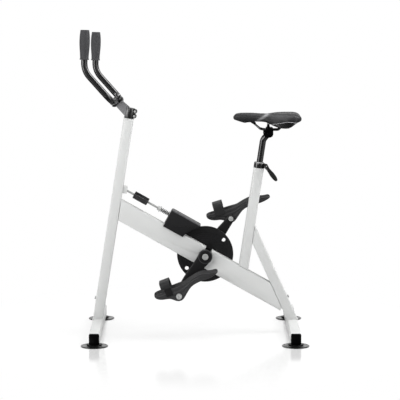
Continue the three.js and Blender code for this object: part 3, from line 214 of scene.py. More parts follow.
finishLooks = {
    "frame_paint": {
        "colour": (203, 204, 203), "spread": 0.02, "patch": 5, "rough": (0.34, 0.44), "grain": 700,
        "relief": 0.04, "depth": 0.00003, "speckle": 0.02, "coat": 0.12, "coatRough": 0.2},
    "bolt_steel": {
        "colour": (186, 187, 186), "metal": 0.35, "rough": (0.26, 0.42), "grain": 300, "brushed": (1, 6, 6),
        "relief": 0.12, "depth": 0.00003, "speckle": 0.1},
    "rod_steel": {
        "colour": (170, 171, 170), "metal": 0.3, "rough": (0.3, 0.42), "grain": 300, "relief": 0.1,
        "depth": 0.00003},
    "spring_steel": {
        "colour": (104, 104, 105), "metal": 0.5, "rough": (0.26, 0.38), "grain": 300, "relief": 0.1,
        "depth": 0.00003},
    "black_metal": {
        "colour": (9, 9, 10), "rough": (0.22, 0.3), "grain": 600, "relief": 0.03, "depth": 0.00002,
        "speckle": 0.03, "specular": 1},
    "black_gloss": {
        "colour": (4, 4, 5), "rough": (0.16, 0.22), "grain": 90, "relief": 0.01, "depth": 0.00001,
        "speckle": 0.02, "specular": 0.9},
    "crank_metal": {
        "colour": (21, 21, 22), "rough": (0.34, 0.44), "relief": 0.1, "depth": 0.00003, "specular": 0.35},
    "black_plastic": {
        "colour": (5, 5, 6), "rough": (0.24, 0.34), "relief": 0.08, "depth": 0.00003, "specular": 0.06},
    "housing_plastic": {
        "colour": (29, 29, 30), "rough": (0.4, 0.54), "grain": 1000, "relief": 0.2, "depth": 0.00006,
        "spread": 0.1, "specular": 0.2},
    # mid grey for painted highlights on the housing and the crank bosses, and for the axle dots
    "highlight_and_dot_grey": {
        "colour": (70, 70, 72), "rough": (0.34, 0.46), "grain": 1000, "relief": 0.2, "depth": 0.00006,
        "specular": 0.3},
    "pedal_plastic": {
        "colour": (51, 51, 52), "rough": (0.36, 0.5), "relief": 0.4, "depth": 0.00006, "spread": 0.1,
        "specular": 0.3},
    "disc_plastic": {
        "colour": (27, 27, 28), "rough": (0.3, 0.42), "grain": 800, "spread": 0.12, "specular": 0.3},
    "strap_rubber": {
        "colour": (39, 39, 40), "rough": (0.46, 0.6), "grain": 700, "relief": 0.5, "depth": 0.0001,
        "specular": 0.25},
    "grip_rubber": {
        "colour": (63, 63, 65), "rough": (0.55, 0.7), "grain": 850, "relief": 0.5, "depth": 0.0001,
        "spread": 0.07, "specular": 0.25},
    "cup_rubber": {
        "colour": (20, 21, 21), "rough": (0.1, 0.18), "grain": 600, "relief": 0.03, "specular": 0.8},
    "knob_plastic": {
        "colour": (44, 44, 45), "rough": (0.34, 0.46), "grain": 800, "relief": 0.1, "specular": 0.3},
    # pale grey for the knob's painted highlight
    "knob_ridge_highlight": {"colour": (104, 104, 106), "rough": (0.34, 0.46), "grain": 800, "relief": 0.1},
    # pale grey for the painted highlight on the stem's sides
    "stem_side_highlight": {
        "colour": (128, 128, 130), "rough": (0.3, 0.4), "grain": 700, "relief": 0.05, "depth": 0.00003},
    # darker strap rubber for the painted shade at the strap's outer end
    "strap_end_shade": {
        "colour": (25, 25, 26), "rough": (0.4, 0.5), "grain": 700, "relief": 0.2, "specular": 0.2},
    "pad_rubber": {
        "colour": (24, 24, 24), "rough": (0.6, 0.75), "grain": 600, "relief": 0.5, "specular": 0.2},
    # the leather's pale colour goes into its painted highlights
    "saddle_leather": {
        "colour": (18, 18, 20), "rough": (0.36, 0.44), "grain": 1400, "relief": 0.03, "depth": 0.00002,
        "spread": 0.04, "speckle": 0.02, "specular": 0.22, "painted_highlight": (176, 176, 178)},
    "saddle_skirt": {
        "colour": (9, 9, 10), "rough": (0.2, 0.28), "grain": 1400, "relief": 0.03, "depth": 0.00002},
    "saddle_piping": {"colour": (150, 150, 152), "rough": (0.35, 0.5)},
}
finishes = {name: surface(name, look) for name, look in finishLooks.items()}
print("finishes made")


def mm(x, y, z):
    return Vector((x, y, z)) / 1000


def beginPiece(name):
    # names what an add operator has just made
    piece = bpy.context.active_object
    piece.name = piece.data.name = name
    activate(piece)
    return piece


def closeUp():
    # in edit mode: weld, close and turn every face outwards
    pickAll()
    bpy.ops.mesh.remove_doubles(threshold=meshLook["ownWeld"])
    bpy.ops.mesh.normals_make_consistent(inside=False)
    leaveEdit()


def drawLine(name, spots, closed=False):
    # one corner, extruded from point to point
    bpy.ops.mesh.primitive_plane_add(size=0.001)
    piece = beginPiece(name)
    enterEdit()
    bpy.ops.mesh.select_mode(type="VERT")
    pickAll()
    bpy.ops.mesh.merge(type="CENTER")
    bpy.ops.transform.translate(value=spots[0])
    for start, end in zip(spots, spots[1:]):
        bpy.ops.mesh.extrude_vertices_move(TRANSFORM_OT_translate={"value": end - start})
    if closed:
        pickAll()
        bpy.ops.mesh.edge_face_add()
    return piece


def turned(name, profile, origin, axis, sides=48, out=None):
    # profile: radius and place along the axis in mm; the outline is spun once round
    axis = Vector(axis).normalized()
    out = Vector(out).normalized() if out else axis.orthogonal().normalized()
    spots = [origin + out * radius / 1000 + axis * along / 1000 for radius, along in profile]
    piece = drawLine(name, spots)
    pickAll()
    bpy.ops.mesh.spin(steps=sides, angle=2 * math.pi, center=origin, axis=axis)
    closeUp()
    return piece


def slab(name, outline, push):
    # a closed outline pushed to a plate
    piece = drawLine(name, outline, closed=True)
    pickAll()
    bpy.ops.mesh.extrude_region_move(TRANSFORM_OT_translate={"value": push})
    closeUp()
    return piece


def loft(name, rings):
    # a filled circle's corners are put on the first ring, and each next ring is extruded
    bpy.ops.mesh.primitive_circle_add(vertices=len(rings[0]), radius=0.01, fill_type="NGON")
    piece = beginPiece(name)
    for corner, spot in zip(piece.data.vertices, rings[0]):
        corner.co = spot
    enterEdit()
    pickAll()
    for before, ring in zip(rings, rings[1:]):
        bpy.ops.mesh.extrude_region_move()
        shape = bmesh.from_edit_mesh(piece.data)
        for corner in [v for v in shape.verts if v.select]:
            nearest = min(range(len(before)), key=lambda i: (before[i] - corner.co).length)
            corner.co = ring[nearest]
        bmesh.update_edit_mesh(piece.data)
    closeUp()
    return piece


def roundedRoute(corners, bends, steps=12):
    # straight runs joined by arcs of the given radii
    route = [corners[0]]
    for before, corner, after, radius in zip(corners, corners[1:], corners[2:], bends):
        back, ahead = (before - corner).normalized(), (after - corner).normalized()
        half = back.angle(ahead) / 2
        reach = radius / math.tan(half)
        centre = corner + (back + ahead).normalized() * radius / math.sin(half)
        start, end = corner + back * reach - centre, corner + ahead * reach - centre
        for step in range(steps + 1):
            route.append(centre + start.slerp(end, step / steps) * radius)
    return route + [corners[-1]]


def swept(name, route, radius, roundness):
    curve = bpy.data.curves.new(name, "CURVE")
    curve.dimensions = "3D"
    curve.bevel_depth = radius / 1000
    curve.bevel_resolution = roundness
    curve.use_fill_caps = True
    spline = curve.splines.new("POLY")
    spline.points.add(len(route) - 1)
    for point, spot in zip(spline.points, route):
        point.co = [*spot, 1]
    activate(placeObject(name, curve))
    bpy.ops.object.convert(target="MESH")
    piece = bpy.context.active_object
    enterEdit()
    closeUp()
    return piece


def joined(piece, *others):
    activate(piece)
    for other in others:
        other.select_set(True)
    bpy.ops.object.join()
    return piece


def softened(piece, width, segments=3, angle=30, smooth=35):
    addModifier(piece, "BEVEL", width=width / 1000, segments=segments, limit_method="ANGLE",
                angle_limit=math.radians(angle), harden_normals=False)
    applyAll(piece)
    return smoothByAngle(piece, smooth)


def drilled(piece, centre, axis, radius, sides=48, reach=60):
    # a hole cut by a cylinder that is removed afterwards
    axis = Vector(axis).normalized()
    turn = Vector((0, 0, 1)).rotation_difference(axis).to_euler()
    bpy.ops.mesh.primitive_cylinder_add(vertices=sides, radius=radius / 1000, depth=reach / 1000,
                                        location=centre, rotation=turn)
    cutter = bpy.context.active_object
    addModifier(piece, "BOOLEAN", operation="DIFFERENCE", solver="EXACT", object=cutter)
    applyAll(piece)
    bpy.data.objects.remove(cutter, do_unlink=True)


def paintFaces(piece, finish, test):
    piece.data.materials.append(finishes[finish])
    index = len(piece.data.materials) - 1
    for face in piece.data.polygons:
        if test(face):
            face.material_index = index


# places read off the CAD
upright = Vector((0, 0, 1))
acrossAxis = Vector((0, 1, 0))
beamDirection = Vector((0.8712, 0, -0.4909))
beamUp = Vector((0.4909, 0, 0.8712))
tubeDirection = Vector((0.14781, 0, 0.98902))
gripDirection = Vector((0.0243, 0.0585, 0.998)).normalized()
crankCentre = mm(41.11, 0, 314.14)
tubeStart = mm(188.83, 0, 222.87)
headCentre = mm(292.21, 0, 802.96)
rodStart = mm(-279.76, 0, 579.88)
pedalCentres = {"left": mm(-62.98, 0, 173.47), "right": mm(145.21, 0, 454.81)}


# suction cups: a flared skirt round a black hub
cupLook = {"sides": 96, "hubRadius": 30.4, "hubTop": 6.1, "hubMargin": 1}
cupProfile = [(0, 3), (38, 2.6), (41.5, 2), (43, 0.4), (44, 0), (53, 0), (53.5, 0.5), (53.4, 1.7), (52, 2.2),
              (49.5, 2.3), (48.5, 2.9), (46.5, 2.9), (45.5, 2.6), (38, 3.6), (33, 4.4), (30.4, 5), (30, 7.6),
              (29, 8.5), (27.6, 8.7), (0, 8.7)]


def buildCups():
    for nodeName in ("front_cup_left", "front_cup_right", "rear_cup_left", "rear_cup_right"):
        low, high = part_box(nodeName)
        centre = Vector(((low.x + high.x) / 2, (low.y + high.y) / 2, 0))
        piece = smoothByAngle(turned(nodeName + "_skirt", cupProfile, centre, upright, cupLook["sides"]), 40)
        settle(piece, "base", "cup_rubber", nodeName)
        hub, hubTop, margin = [cupLook[key] / 1000 for key in ("hubRadius", "hubTop", "hubMargin")]
        paintFaces(piece, "black_gloss", lambda face: (
            face.normal.z > -0.2 and (face.center - centre).xy.length < hub))
        paintFaces(piece, "black_plastic", lambda face: (
            face.center.z > hubTop and (face.center - centre).xy.length < hub + margin))


# handlebar and grips
barLook = {"radius": 12.5, "bends": (80, 42, 42, 80), "uprightLength": 150,
           "corners": (mm(-428.25, -186.48, 1065.48), mm(-321.41, -199.36, 946.41),
                       mm(-299.99, 199.36, 922.53), mm(-406.83, 212.23, 1041.60))}
gripProfile = [
    (0, 43), (12.9, 42.6), (17.3, 42.5), (18, 43.2), (18, 46.4), (17.4, 47.3), (16.7, 47.9), (16.6, 52),
    (17.1, 62), (17.8, 71), (18.7, 82), (19.5, 92), (20, 101), (20.2, 111), (20.1, 122), (19.7, 132),
    (19, 141), (18, 149), (17.1, 154.5), (16.8, 156.6), (16.3, 157.4), (15.2, 157.5), (0, 157.5)]


def buildBar():
    tops = [barLook["corners"][i] + gripDirection * barLook["uprightLength"] / 1000 for i in (0, 3)]
    corners = [tops[0], *barLook["corners"], tops[1]]
    route = roundedRoute(corners, [bend / 1000 for bend in barLook["bends"]], steps=16)
    bar = smoothByAngle(swept("handlebar_tube", route, barLook["radius"], roundness=14))
    settle(bar, "steering", "black_gloss", "handlebar")
    for side, base in (("left", barLook["corners"][0]), ("right", barLook["corners"][3])):
        grip = smoothByAngle(turned("grip_sleeve_" + side, gripProfile, base, gripDirection, 64), 30)
        settle(grip, "steering", "grip_rubber", "grip_" + side)


# resistance disc with turned grooves and two holes
discLook = {"grooves": (50, 58, 66, 74, 82, 90), "grooveWidth": 2.6, "grooveDepth": 0.8, "holeRadius": 7.9,
            "holeAt": 94, "holeAngles": (38, 218), "holeMiddle": 28, "near": 24, "far": 33, "hubEnd": 38}


def discFace(level, inward):
    points = []
    for radius in discLook["grooves"]:
        sunk = level + inward * discLook["grooveDepth"]
        points += [(radius, level), (radius + 0.5, sunk), (radius + discLook["grooveWidth"], sunk),
                   (radius + discLook["grooveWidth"] + 0.5, level)]
    return points


def buildDisc():
    near, far, hubEnd = discLook["near"], discLook["far"], discLook["hubEnd"]
    profile = [
        (9, near), (29, near), (30, near + 1.4), (43, near + 1.4), (44.5, near), *discFace(near, 1),
        (104.5, near), (105.5, near + 0.7), (108, near + 0.7), (109, near), (112.5, near), (113.5, near + 1),
        (113.5, far - 1), (112.5, far), (109, far), (108, far - 0.7), (105.5, far - 0.7), (104.5, far),
        *reversed(discFace(far, -1)), (44, far), (30, far), (28.5, far + 0.8), (26.5, hubEnd - 0.6),
        (25.8, hubEnd), (9, hubEnd), (9, near)]
    disc = turned("resistance_disc_turned", profile, crankCentre, acrossAxis, 160, out=(1, 0, 0))
    for degrees in discLook["holeAngles"]:
        angle = math.radians(degrees)
        offset = Vector((math.cos(angle), 0, math.sin(angle))) * discLook["holeAt"] / 1000
        middle = crankCentre + offset + acrossAxis * discLook["holeMiddle"] / 1000
        drilled(disc, middle, acrossAxis, discLook["holeRadius"])
    smoothByAngle(disc, 25)
    settle(disc, "crankset", "disc_plastic", "resistance_disc")


# cranks with boss rings, the rings painted paler as highlights, and their caps
crankLook = {"angles": {"left": 233.5, "right": 53.5}, "inner": {"left": -37, "right": 45}, "thickness": 13,
             "length": 175, "tipRadius": 15, "tipSteps": 12, "edgeRound": 3.2, "ring": (24.9, 28),
             "ringHeight": 13.2}
crankEdge = [(0, 26.5), (15, 26.2), (30, 24.8), (45, 23.2), (62, 22.3), (85, 22), (105, 21.3), (122, 19.9),
             (138, 18), (155, 16.4), (170, 15.2)]
bossProfile = [(0, -6), (27.5, -6), (28.5, -5), (28.5, 12.2), (27.6, 13.6), (25.4, 13.6), (24.4, 12.4),
               (20.6, 12.4), (19.8, 13.3), (14.8, 13.3), (14, 12.2), (0, 12.2)]
capProfile = [(0, 3.1), (5, 3.1), (5.8, 3.8), (10.6, 4), (12, 3.7), (12.5, 3), (12.5, 0.3), (0, 0.3)]


def buildCranks():
    for side in ("left", "right"):
        sign = -1 if side == "left" else 1
        outward = acrossAxis * sign
        inner = crankCentre + acrossAxis * crankLook["inner"][side] / 1000
        angle = math.radians(crankLook["angles"][side])
        along = Vector((math.cos(angle), 0, math.sin(angle)))
        wide = outward.cross(along)
        tip, end, steps = crankLook["length"], crankLook["tipRadius"], crankLook["tipSteps"]
        turns = [math.pi * step / steps for step in range(1, steps)]
        arc = [(tip + end * math.sin(turn), end * math.cos(turn)) for turn in turns]
        outline = crankEdge + [(tip, end), *arc, (tip, -end)] + [(x, -y) for x, y in reversed(crankEdge)]
        spots = [inner + along * x / 1000 + wide * y / 1000 for x, y in outline]
        arm = softened(slab("crank_arm_" + side, spots, outward * crankLook["thickness"] / 1000),
                       crankLook["edgeRound"], segments=4)
        boss = smoothByAngle(turned("crank_boss_" + side, bossProfile, inner, outward, 72), 28)
        joined(arm, boss)
        ring, ringHeight = [r / 1000 for r in crankLook["ring"]], crankLook["ringHeight"] / 1000
        settle(arm, "crankset", "crank_metal", "crank_" + side)
        # painted highlight: the raised ring on each boss is paler
        paintFaces(arm, "highlight_and_dot_grey", lambda face: (
            face.normal.dot(outward) > 0.6 and ring[0] < (face.center - inner).xz.length < ring[1]
            and (face.center - inner).dot(outward) > ringHeight))
        outer = inner + outward * crankLook["thickness"] / 1000
        cap = smoothByAngle(turned("crank_cap_turned_" + side, capProfile, outer, outward, 48), 28)
        settle(cap, "crankset", "bolt_steel", "crank_cap_" + side)


# pedals: shells with a lobe round the axle, and straps
pedalLook = {"half": 48, "middle": {"left": -106, "right": 114}, "angles": {"left": 21, "right": 17}}
pedalStations = [  # place, half width, underside, bed, rim, lean of the wall
    (-94, 18, 27, 31, 33, 4), (-92, 33, 22, 28, 35, 7), (-85, 43, 15, 26, 36.5, 9),
    (-70, 47, 7.5, 24, 36.5, 9), (-55, 48, 5, 23.5, 36.5, 7), (-36, 48, 1.5, 23, 37, 4),
    (-24, 48, -9, 22.5, 37.5, 1),
    (-14, 48, -18.5, 22.5, 38, 0.5), (0, 47.7, -22.5, 22.5, 38, 0.5), (13, 47.5, -19.5, 23, 38, 0.5),
    (25, 46.5, -9, 23, 37.5, 1), (38, 45.5, 1.5, 24, 37.5, 3), (50, 44.5, 11, 27, 41, 5),
    (64, 44, 18, 31.5, 45, 6), (82, 43.5, 21.5, 36, 49, 6), (98, 42.5, 22.5, 38.5, 51.5, 6),
    (113, 42, 22, 38, 52, 6), (127, 41.5, 21, 34.5, 48.5, 6), (141, 41, 21.5, 30.5, 42.5, 6),
    (155, 39.5, 24, 29, 39.5, 6), (167, 36, 26.5, 30.5, 40, 5), (174, 28, 29, 31.5, 38.5, 4),
    (177, 18, 31, 33, 35.5, 2)]
pedalWall = [  # inset, share of the lean, share of the wall's height
    (5, 1, 0), (1.6, 1, 0.05), (0, 0.7, 0.18), (0, 0.45, 0.34), (1.6, 0.35, 0.4), (1.6, 0.2, 0.47),
    (0, 0.1, 0.54), (0, 0, 0.66), (1.4, 0, 0.72), (1.4, 0, 0.78), (0, 0, 0.85)]
pedalRim = [(0.4, -0.6), (2.6, 0), (5, -0.8)]  # inset, height over the rim
pedalBed = [(7, 0.2), (10, 0)]  # inset, share of the rim's height over the bed
strapLook = {"thickness": 3, "clearance": 0.4, "top": 74.5, "foot": 14, "innerFoot": 22, "shoulder": 48,
             "band": (-57, -17), "shadedEnd": (-46, -18), "risers": (28, 37, 46, 50), "archSteps": 16,
             "squareness": (0.42, 0.5)}


def pedalFrame(side):
    angle = math.radians(pedalLook["angles"][side])
    heel = Vector((math.cos(angle), 0, math.sin(angle)))
    up = Vector((-math.sin(angle), 0, math.cos(angle)))
    centre = pedalCentres[side] + acrossAxis * pedalLook["middle"][side] / 1000
    return lambda u, y, v: centre + heel * u / 1000 + acrossAxis * y / 1000 + up * v / 1000


def pedalRing(place, half, under, bed, rim, lean):
    # leaning wall with two ribs, rim and bed, and back again on the other side
    tall = rim - under
    side = [(half - inset - lean * share, under + rise * tall) for inset, share, rise in pedalWall]
    side += [(half - inset, rim + rise) for inset, rise in pedalRim]
    side += [(half - inset, bed + share * (rim - bed)) for inset, share in pedalBed]
    return side + [(-y, v) for y, v in reversed(side)]


def buildPedals():
    for side in ("left", "right"):
        spot = pedalFrame(side)
        rings = [[spot(row[0], y, v) for y, v in pedalRing(*row)] for row in pedalStations]
        pedal = loft("pedal_shell_" + side, rings)
        addModifier(pedal, "SUBSURF", levels=2, render_levels=2)
        applyAll(pedal)
        smoothByAngle(pedal, 60)
        settle(pedal, side + "_pedal", "pedal_plastic", "pedal_" + side)


def strapPath(outerSide):
    # across and up pairs of the arch; the inner side ends at the rim, the outer one runs lower, to a narrower
    # end painted dark as shade
    look = strapLook
    half, top = pedalLook["half"] + look["clearance"], look["top"] - look["thickness"]
    shoulder = look["risers"][-1]
    feet = {sign: look["foot" if sign == outerSide else "innerFoot"] for sign in (-1, 1)}
    sides = {sign: [(sign * half, v) for v in (feet[sign], *look["risers"])] for sign in (-1, 1)}
    path = list(sides[-1])
    across, up = look["squareness"]
    for step in range(1, look["archSteps"]):
        angle = math.pi * (1 - step / look["archSteps"])
        out = math.copysign(abs(math.cos(angle)) ** across, math.cos(angle))
        path.append((out * half, shoulder + (top - shoulder) * math.sin(angle) ** up))
    return path + sides[1][::-1]


def buildStraps():
    for side, outerSide in (("left", -1), ("right", 1)):
        spot = pedalFrame(side)
        path = strapPath(outerSide)
        rings = []
        for i, (y, v) in enumerate(path):
            before, after = path[max(i - 1, 0)], path[min(i + 1, len(path) - 1)]
            run = Vector((after[0] - before[0], after[1] - before[1])).normalized()
            out = Vector((-run.y, run.x)) * strapLook["thickness"]
            onShadedEnd = v < strapLook["shoulder"] and y * outerSide > 0
            low, high = strapLook["shadedEnd" if onShadedEnd else "band"]
            rings.append([spot(low, y, v), spot(high, y, v), spot(high, y + out.x, v + out.y),
                          spot(low, y + out.x, v + out.y)])
        strap = loft("strap_band_" + side, rings)
        softened(strap, 1.1, segments=3, angle=50, smooth=40)
        settle(strap, side + "_pedal", "strap_rubber", "strap_" + side)
        # painted shade: the outer side's lower end is darker
        base, up = spot(0, 0, 0), spot(0, 0, 1) - spot(0, 0, 0)
        limit = strapLook["shoulder"] / 1000
        paintFaces(strap, "strap_end_shade", lambda face: (
            (face.center - base).dot(up.normalized()) < limit and (face.center.y - base.y) * outerSide > 0))


# brake: threaded rod, faceted knob, spring
brakeLook = {"rodEnd": 218, "core": 3.9, "thread": 4.55, "pitch": 1.5, "knobSides": 6, "ridge": 20,
             "springLow": 163.6, "springHigh": 203.6, "springRadius": 8.1, "wire": 1.45, "curls": 5.5,
             "curlSteps": 28, "threadSteps": 16, "threadEnds": 2}
knobProfile = [(0, 41.5), (14.4, 41.5), (16.2, 43.4), (16.2, 48), (15.3, 49), (15.3, 51), (16.2, 52),
               (16.2, 94), (15.3, 95), (15.3, 97), (16.2, 98), (16.2, 102.6), (14.4, 104.5), (0, 104.5)]
coreProfile = [(0, 1), (3.4, 1), (4.1, 1.8), (4.1, brakeLook["rodEnd"]), (0, brakeLook["rodEnd"])]


def threadedRod(name, start, end):
    # one turn's outline screwed along, with both ends closed
    look = brakeLook
    pitch, steps = look["pitch"], look["threadSteps"]
    spots = [mm(look["core"], 0, start), mm(look["thread"], 0, start + pitch / 2),
             mm(look["core"], 0, start + pitch)]
    piece = drawLine(name, spots)
    leaveEdit()
    addModifier(piece, "SCREW", axis="Z", angle=2 * math.pi, screw_offset=pitch / 1000,
                iterations=int((end - start) / pitch), steps=steps, render_steps=steps,
                use_merge_vertices=True)
    applyAll(piece)
    editAll(piece)
    bpy.ops.mesh.remove_doubles(threshold=meshLook["ownWeld"])
    bpy.ops.mesh.fill_holes(sides=40)
    closeUp()
    return piece


def layAlong(piece, origin, axis):
    # a piece made about the upright axis is laid along its own, and its place goes into the mesh
    activate(piece)
    piece.matrix_world = Matrix.Translation(origin) @ upright.rotation_difference(axis).to_matrix().to_4x4()
    bpy.ops.object.transform_apply(location=True, rotation=True, scale=True)
    return piece


def buildBrake():
    look = brakeLook
    ends = look["threadEnds"]
    thread = layAlong(threadedRod("brake_rod_thread", ends, look["rodEnd"] - ends), rodStart, beamDirection)
    core = turned("brake_rod_core", coreProfile, rodStart, beamDirection, 24)
    joined(thread, core)
    smoothByAngle(thread, 50)
    settle(thread, "brake_screw", "rod_steel", "brake_rod", slotName="bolt_steel")
    ridge = math.radians(look["ridge"])
    ridgeOut = beamUp * math.sin(ridge) - acrossAxis * math.cos(ridge)
    knob = turned("brake_knob_faceted", knobProfile, rodStart, beamDirection, look["knobSides"], out=ridgeOut)
    softened(knob, 1.5, segments=2, angle=20, smooth=18)
    settle(knob, "brake_screw", "knob_plastic", "brake_knob", slotName="black_plastic")
    # painted shade and highlight: the upward facets are black and the front ridge is pale
    paintFaces(knob, "black_plastic", lambda face: face.normal.dot(beamUp) > 0.3)
    paintFaces(knob, "knob_ridge_highlight", lambda face: face.normal.dot(ridgeOut) > 0.94)
    steps = int(look["curls"] * look["curlSteps"])
    rise = (look["springHigh"] - look["springLow"] - 2 * look["wire"]) / steps
    route = []
    for step in range(steps + 1):
        angle = 2 * math.pi * step / look["curlSteps"]
        out = beamUp * math.cos(angle) + acrossAxis * math.sin(angle)
        along = look["springLow"] + look["wire"] + rise * step
        route.append(rodStart + beamDirection * along / 1000 + out * look["springRadius"] / 1000)
    spring = smoothByAngle(swept("brake_spring_wire", route, look["wire"], roundness=4), 60)
    settle(spring, "brake_carriage", "spring_steel", "brake_spring", slotName="bolt_steel")


# brake housing: the CAD's hollow box with wider rounded edges, and its top and left edge painted paler as a
# highlight
housingLook = {"topDrop": 3, "topFrom": 24, "corner": 5, "cornerFrom": 20, "longEdge": 50, "rim": 3.2,
               "sideDepth": 0.2}


def chooseEdges(piece, test):
    # leaves edit mode on with the edges that pass picked
    activate(piece)
    enterEdit()
    bpy.ops.mesh.select_mode(type="EDGE")
    bpy.ops.mesh.select_all(action="DESELECT")
    shape = bmesh.from_edit_mesh(piece.data)
    for edge in shape.edges:
        if len(edge.link_faces) == 2 and edge.calc_face_angle(0) > 0.5 and test(*[v.co for v in edge.verts]):
            edge.select_set(True)
    bmesh.update_edit_mesh(piece.data)


def buildHousing():
    look = housingLook
    low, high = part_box("brake_housing")
    housing = mergedCopy("brake_housing", "brake_housing_shell")

    def rise(place):
        return (place - rodStart).dot(beamUp) * 1000
    for vertex in housing.data.vertices:
        if rise(vertex.co) > look["topFrom"]:
            vertex.co -= beamUp * look["topDrop"] / 1000
    depth, long = look["sideDepth"] / 1000, look["longEdge"] / 1000
    outer = (low.y + depth, high.y - depth)
    chooseEdges(housing, lambda a, b: (
        rise(a) > look["cornerFrom"] and rise(b) > look["cornerFrom"] and abs(a.y - b.y) > long))
    bpy.ops.mesh.bevel(offset=look["corner"] / 1000, segments=4, affect="EDGES", clamp_overlap=True)
    leaveEdit()
    chooseEdges(housing, lambda a, b: max(a.y, b.y) < outer[0] or min(a.y, b.y) > outer[1])
    bpy.ops.mesh.bevel(offset=look["rim"] / 1000, segments=3, affect="EDGES", clamp_overlap=True)
    leaveEdit()
    smoothByAngle(housing, 40)
    settle(housing, "brake_carriage", "housing_plastic", "brake_housing")
    # painted highlight: the top faces and the left edge are paler
    paintFaces(housing, "highlight_and_dot_grey", lambda face: (
        face.normal.dot(beamUp) > 0.35 or (face.normal.x < -0.3 and face.normal.y < -0.1)))


# seat post and saddle rails
seatLook = {"postRadius": 12.7, "postInside": 170, "postStraight": 92, "tubeTop": 473, "bend": 34,
            "headRadius": 13.5, "headLength": 36, "headEdge": 0.9, "railRadius": 3.5, "blackRim": 3}
railCorners = [(-60, 9.5, 45.3), (-33, 22, 21.5), (-14, 22, 17.5), (40, 22, 17.5), (64, 22, 45.3)]
railBends = (14, 28, 14)


def onTube(along):
    return tubeStart + tubeDirection * along / 1000


def buildSeatPost():
    look = seatLook
    foot, bend = [onTube(look["tubeTop"] + along) for along in (-look["postInside"], look["postStraight"])]
    route = roundedRoute([foot, bend, headCentre], [look["bend"] / 1000], steps=16)
    post = swept("seat_post_tube", route, look["postRadius"], 16)
    half, radius, edge = look["headLength"] / 2, look["headRadius"], look["headEdge"]
    profile = [(0, -half), (radius - edge, -half), (radius, -half + edge), (radius, half - edge),
               (radius - edge, half), (0, half)]
    head = turned("seat_post_head", profile, headCentre, acrossAxis, 56)
    joined(post, head)
    smoothByAngle(post, 30)
    settle(post, "mast", "black_gloss", "seat_post")
    for side, sign in (("left", -1), ("right", 1)):
        corners = [headCentre + mm(x, sign * y, z) for x, y, z in railCorners]
        route = roundedRoute(corners, [bend / 1000 for bend in railBends])
        rail = smoothByAngle(swept("saddle_rail_bar_" + side, route, look["railRadius"], 6), 60)
        settle(rail, "saddle", "black_gloss", "saddle_rail_" + side)


# clamp over the rails: a thin plate with the screw's round neck standing on it
clampLook = {"plateTop": 829, "edge": 1.2,
             "neck": [(0, 22), (9.5, 22), (8.5, 27), (6.2, 29.5), (5.4, 33), (5.4, 37.6), (0, 37.6)]}


def buildClamp():
    plate = mergedCopy("saddle_clamp_upper", "clamp_plate")
    editAll(plate)
    bpy.ops.mesh.bisect(plane_co=mm(0, 0, clampLook["plateTop"]), plane_no=upright, use_fill=True,
                        clear_outer=True)
    leaveEdit()
    softened(plate, clampLook["edge"])
    neck = turned("clamp_neck", clampLook["neck"], headCentre, upright, 32)
    joined(plate, smoothByAngle(neck, 30))
    settle(plate, "saddle", "black_plastic", "saddle_clamp_upper", slotName="black_metal")


# weld beads where the post and the rear leg stand on the cross bars
weldLook = {"radius": 1.7, "height": 53.4, "halfAcross": 20.6, "overlap": 2, "bend": 3,
            "feet": {"front": (-391.79, 20.8), "rear": (392.21, 22)}}


def buildWelds():
    for name, (x, half) in weldLook["feet"].items():
        y, z, past = weldLook["halfAcross"], weldLook["height"], weldLook["overlap"]
        corners = [mm(x + past, -y, z), mm(x - half, -y, z), mm(x - half, y, z), mm(x + half, y, z),
                   mm(x + half, -y, z), mm(x - past, -y, z)]
        route = roundedRoute(corners, [weldLook["bend"] / 1000] * 4, steps=4)
        bead = smoothByAngle(swept("weld_bead_" + name, route, weldLook["radius"], 3), 60)
        settle(bead, "base", "frame_paint")


buildCups()
buildBar()
buildDisc()
buildCranks()
buildPedals()
buildStraps()
buildBrake()
buildHousing()
buildSeatPost()
buildClamp()
buildWelds()
print("turned, swept and lofted pieces made")


# saddle: the cover is puffed out a little over its floor, with a channel, a raised seam, a darker skirt and
# painted highlights
coverLook = {"voxel": 3.6, "smooth": 8, "lastSmooth": 3, "frames": 16, "pressure": 4, "mostPuff": 2.2,
             "noseDrop": 4.6, "noseHeight": (24, 45), "noseStart": (0.03, 0.14), "noseEnd": (0.22, 0.36),
             "channelDepth": 2.4, "channelWidth": 8, "channelStart": (0.3, 0.48), "channelEnd": (0.84, 0.95),
             "pipe": 1.1, "pipeSteps": 40, "castFrom": 130,
             "seam": ((-4, 38), (17, 43.7), (40, 47.5), (72, 54), (92, 52.5), (109, 49), (120, 46))}
# where painted highlights make the leather paler, in mm from the CAD's own zero
highlightLook = {"bandAt": (238.5, 849.5), "bandSlant": 1.43, "bandWidth": 9, "bandRise": (842, 880), "band": 0.5,
             "patchAt": (332, 874), "patchSize": (40, 7), "patch": 0.12, "washRise": (846, 884), "wash": 0.06}


def smoothStep(value, start, end):
    share = max(0, min(1, (value - start) / (end - start)))
    return share * share * (3 - 2 * share)


def puffCover(cover):
    # a short cloth run under pressure, its floor held and every move capped
    held = cover.vertex_groups.new(name="held")
    held.add([v.index for v in cover.data.vertices if v.normal.z < -0.2], 1, "REPLACE")
    before = [v.co.copy() for v in cover.data.vertices]
    cloth = cover.modifiers.new("puff", "CLOTH")
    cloth.settings.use_pressure = True
    cloth.settings.uniform_pressure_force = coverLook["pressure"]
    cloth.settings.effector_weights.gravity = 0
    cloth.settings.vertex_group_mass = "held"
    for number in range(1, coverLook["frames"] + 1):
        bpy.context.scene.frame_set(number)
    applyAll(cover)
    bpy.context.scene.frame_set(1)
    most = coverLook["mostPuff"] / 1000
    for vertex, start in zip(cover.data.vertices, before):
        move = vertex.co - start
        if move.length > most:
            vertex.co = start + move.normalized() * most


